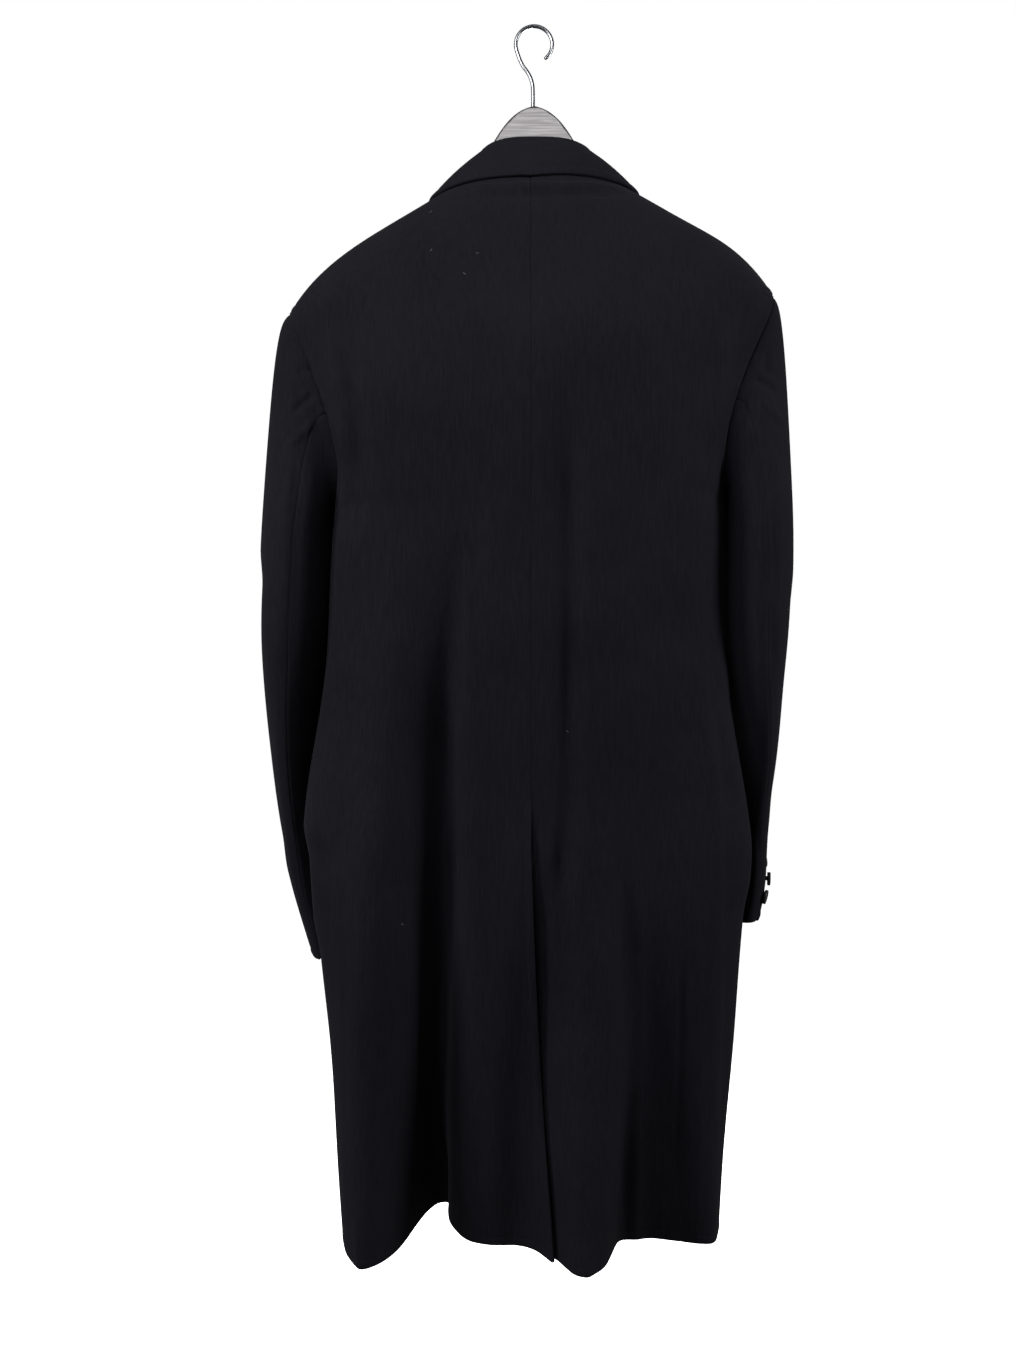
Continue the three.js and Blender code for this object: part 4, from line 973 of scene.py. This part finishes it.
cloth_trees = {node: BVHTree.FromObject(panels[node], bpy.context.evaluated_depsgraph_get())
               for node in BODY}
turns = np.random.default_rng(5).uniform(0, math.pi, len(LINT) + len(HIDDEN_LINT))
fibres = [lay_fibre(*spot, behind=index < len(LINT), turn=float(turns[index]))
          for index, spot in enumerate(LINT + HIDDEN_LINT)]
lint = join_pieces(fibres, "lint_fibres")
lint.data.materials.append(make_lint())
print("fibres:", len(fibres), "with", len(lint.data.polygons), "faces")

# %% [markdown]
# ## The hanger
#
# The hanger is sawn from beech board, stained, washed with grey and rubbed back, so that the grain
# shows in streaks along the board. Its rounded edge is coloured a dark grey.
#
# Its node already has the outline and thickness. A copy is smoothed between its creased edges,
# which turns the short straight stretches into one sawn curve. The dark edge follows the surface's
# own direction: whatever doesn't face straight to the front or back is edge.

# %% Grey-washed beech
GRAIN_LENGTH, GRAIN_WIDTH = 46 * MM, 1.7 * MM


def make_wood():
    wood, shader = new_material("grey_washed_beech")
    place = add_node(wood, "ShaderNodeTexCoord").outputs["Object"]
    lying = add_node(wood, "ShaderNodeMapping", Vector=place, Rotation=(0, math.radians(3), 0),
                     Scale=(1 / GRAIN_LENGTH, 1 / GRAIN_WIDTH, 1 / GRAIN_WIDTH)).outputs["Vector"]
    grain = add_node(wood, "ShaderNodeTexNoise", Vector=lying, Scale=1.0, Detail=5.0,
                     Roughness=0.6, Distortion=0.4).outputs["Fac"]
    colour = add_node(wood, "ShaderNodeValToRGB", Fac=grain)
    dark, light = colour.color_ramp.elements
    dark.position, dark.color = 0.3, linear("#767374")
    light.position, light.color = 0.62, linear("#a5a2a3")
    # the base colour turns dark grey wherever the surface doesn't face straight to the front or
    # back
    normal = add_node(wood, "ShaderNodeNewGeometry").outputs["Normal"]
    facing = add_node(wood, "ShaderNodeSeparateXYZ", Vector=normal).outputs["Y"]
    facing = add_node(wood, "ShaderNodeMath", {"operation": "ABSOLUTE"}, i0=facing).outputs[0]
    face = add_node(wood, "ShaderNodeMapRange", Value=facing, From_Min=0.95, From_Max=0.995)
    mixed = add_node(wood, "ShaderNodeMix", {"data_type": "RGBA"}, i0=face.outputs["Result"],
                     i6=linear("#2c2a2b"), i7=colour.outputs["Color"])
    feed(shader, "Base Color", mixed.outputs[2])
    bump = add_node(wood, "ShaderNodeBump", Strength=0.35, Distance=0.2 * MM, Height=grain)
    feed(shader, "Normal", bump.outputs["Normal"])
    shader.inputs["Roughness"].default_value = 0.62
    shader.inputs["Specular IOR Level"].default_value = 0.25
    return wood


def make_steel():
    steel, shader = new_material("bright_plated_steel")
    place = add_node(steel, "ShaderNodeTexCoord").outputs["Object"]
    drawn = add_node(steel, "ShaderNodeMapping", Vector=place,
                     Scale=(1 / (0.5 * MM), 1 / (0.5 * MM), 1 / (6 * MM))).outputs["Vector"]
    marks = add_node(steel, "ShaderNodeTexNoise", Vector=drawn, Scale=1.0, Detail=2.0)
    colour = add_node(steel, "ShaderNodeValToRGB", Fac=marks.outputs["Fac"])
    dull, bright = colour.color_ramp.elements
    dull.position, dull.color = 0.35, linear("#6d6f73")
    bright.position, bright.color = 0.65, linear("#9a9ca0")
    feed(shader, "Base Color", colour.outputs["Color"])
    shader.inputs["Metallic"].default_value = 1.0
    shader.inputs["Roughness"].default_value = 0.24
    return steel


grey_beech = make_wood()
plated_steel = make_steel()

# %% [markdown]
# The hook is one length of plated wire, bent over a former. Smoothing draws its eight-sided
# section in a little, so it is swelled back to the wire's real size.

# %% Hanger board and hook
BOARD_SHARP, WIRE_SHARP = math.radians(30), math.radians(80)
WIRE_RADIUS = 2.0 * MM
OCTAGON_SHRINKS = 2 / 3 + math.cos(math.radians(45)) / 3


def smooth_solid(node, name, levels, sharp, material):
    """A CAD solid's copy, smoothed between its creased edges."""
    piece = copy_node(node, name)
    bpy.ops.object.mode_set(mode="EDIT")
    bpy.ops.mesh.edges_select_sharp(sharpness=sharp)
    bpy.ops.transform.edge_crease(value=0.6)
    bpy.ops.object.mode_set(mode="OBJECT")
    apply_modifier(piece, "SUBSURF", levels=levels, render_levels=levels)
    piece.data.materials.clear()
    piece.data.materials.append(material)
    bpy.ops.object.shade_smooth_by_angle(angle=math.radians(40))
    return piece


board = smooth_solid("hanger_body", "hanger_board", 2, BOARD_SHARP, grey_beech)
hook = smooth_solid("hanger_hook", "hanger_wire_hook", 2, WIRE_SHARP, plated_steel)
bpy.ops.object.mode_set(mode="EDIT")
bpy.ops.mesh.select_all(action="SELECT")
bpy.ops.transform.shrink_fatten(value=WIRE_RADIUS * (1 - OCTAGON_SHRINKS))
bpy.ops.object.mode_set(mode="OBJECT")
print("board:", len(board.data.polygons), "faces; hook:", len(hook.data.polygons), "faces")

# %% [markdown]
# ## One body
#
# Everything hangs as one body, since a fastened coat on a hanger has no joint. The area of each
# panel is measured on the finished panel.


def area_of(panel):
    """One side of the cloth, in square metres: half of the closed wall."""
    mesh = bmesh.new()
    mesh.from_mesh(panel.data)
    area = sum(face.calc_area() for face in mesh.faces) / 2
    mesh.free()
    return area


for node, panel in panels.items():
    area = round(area_of(panel), 3)
    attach(panel, "root")
    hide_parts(node)
for node, button in buttons.items():
    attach(button, "root")
    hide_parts(node)
for thread in threads + holes + [lint]:
    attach(thread, "root")
for piece, node, slot in ((board, "hanger_body", "hanger_wood"),
                          (hook, "hanger_hook", "hook_wire")):
    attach(piece, "root")
    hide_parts(node)
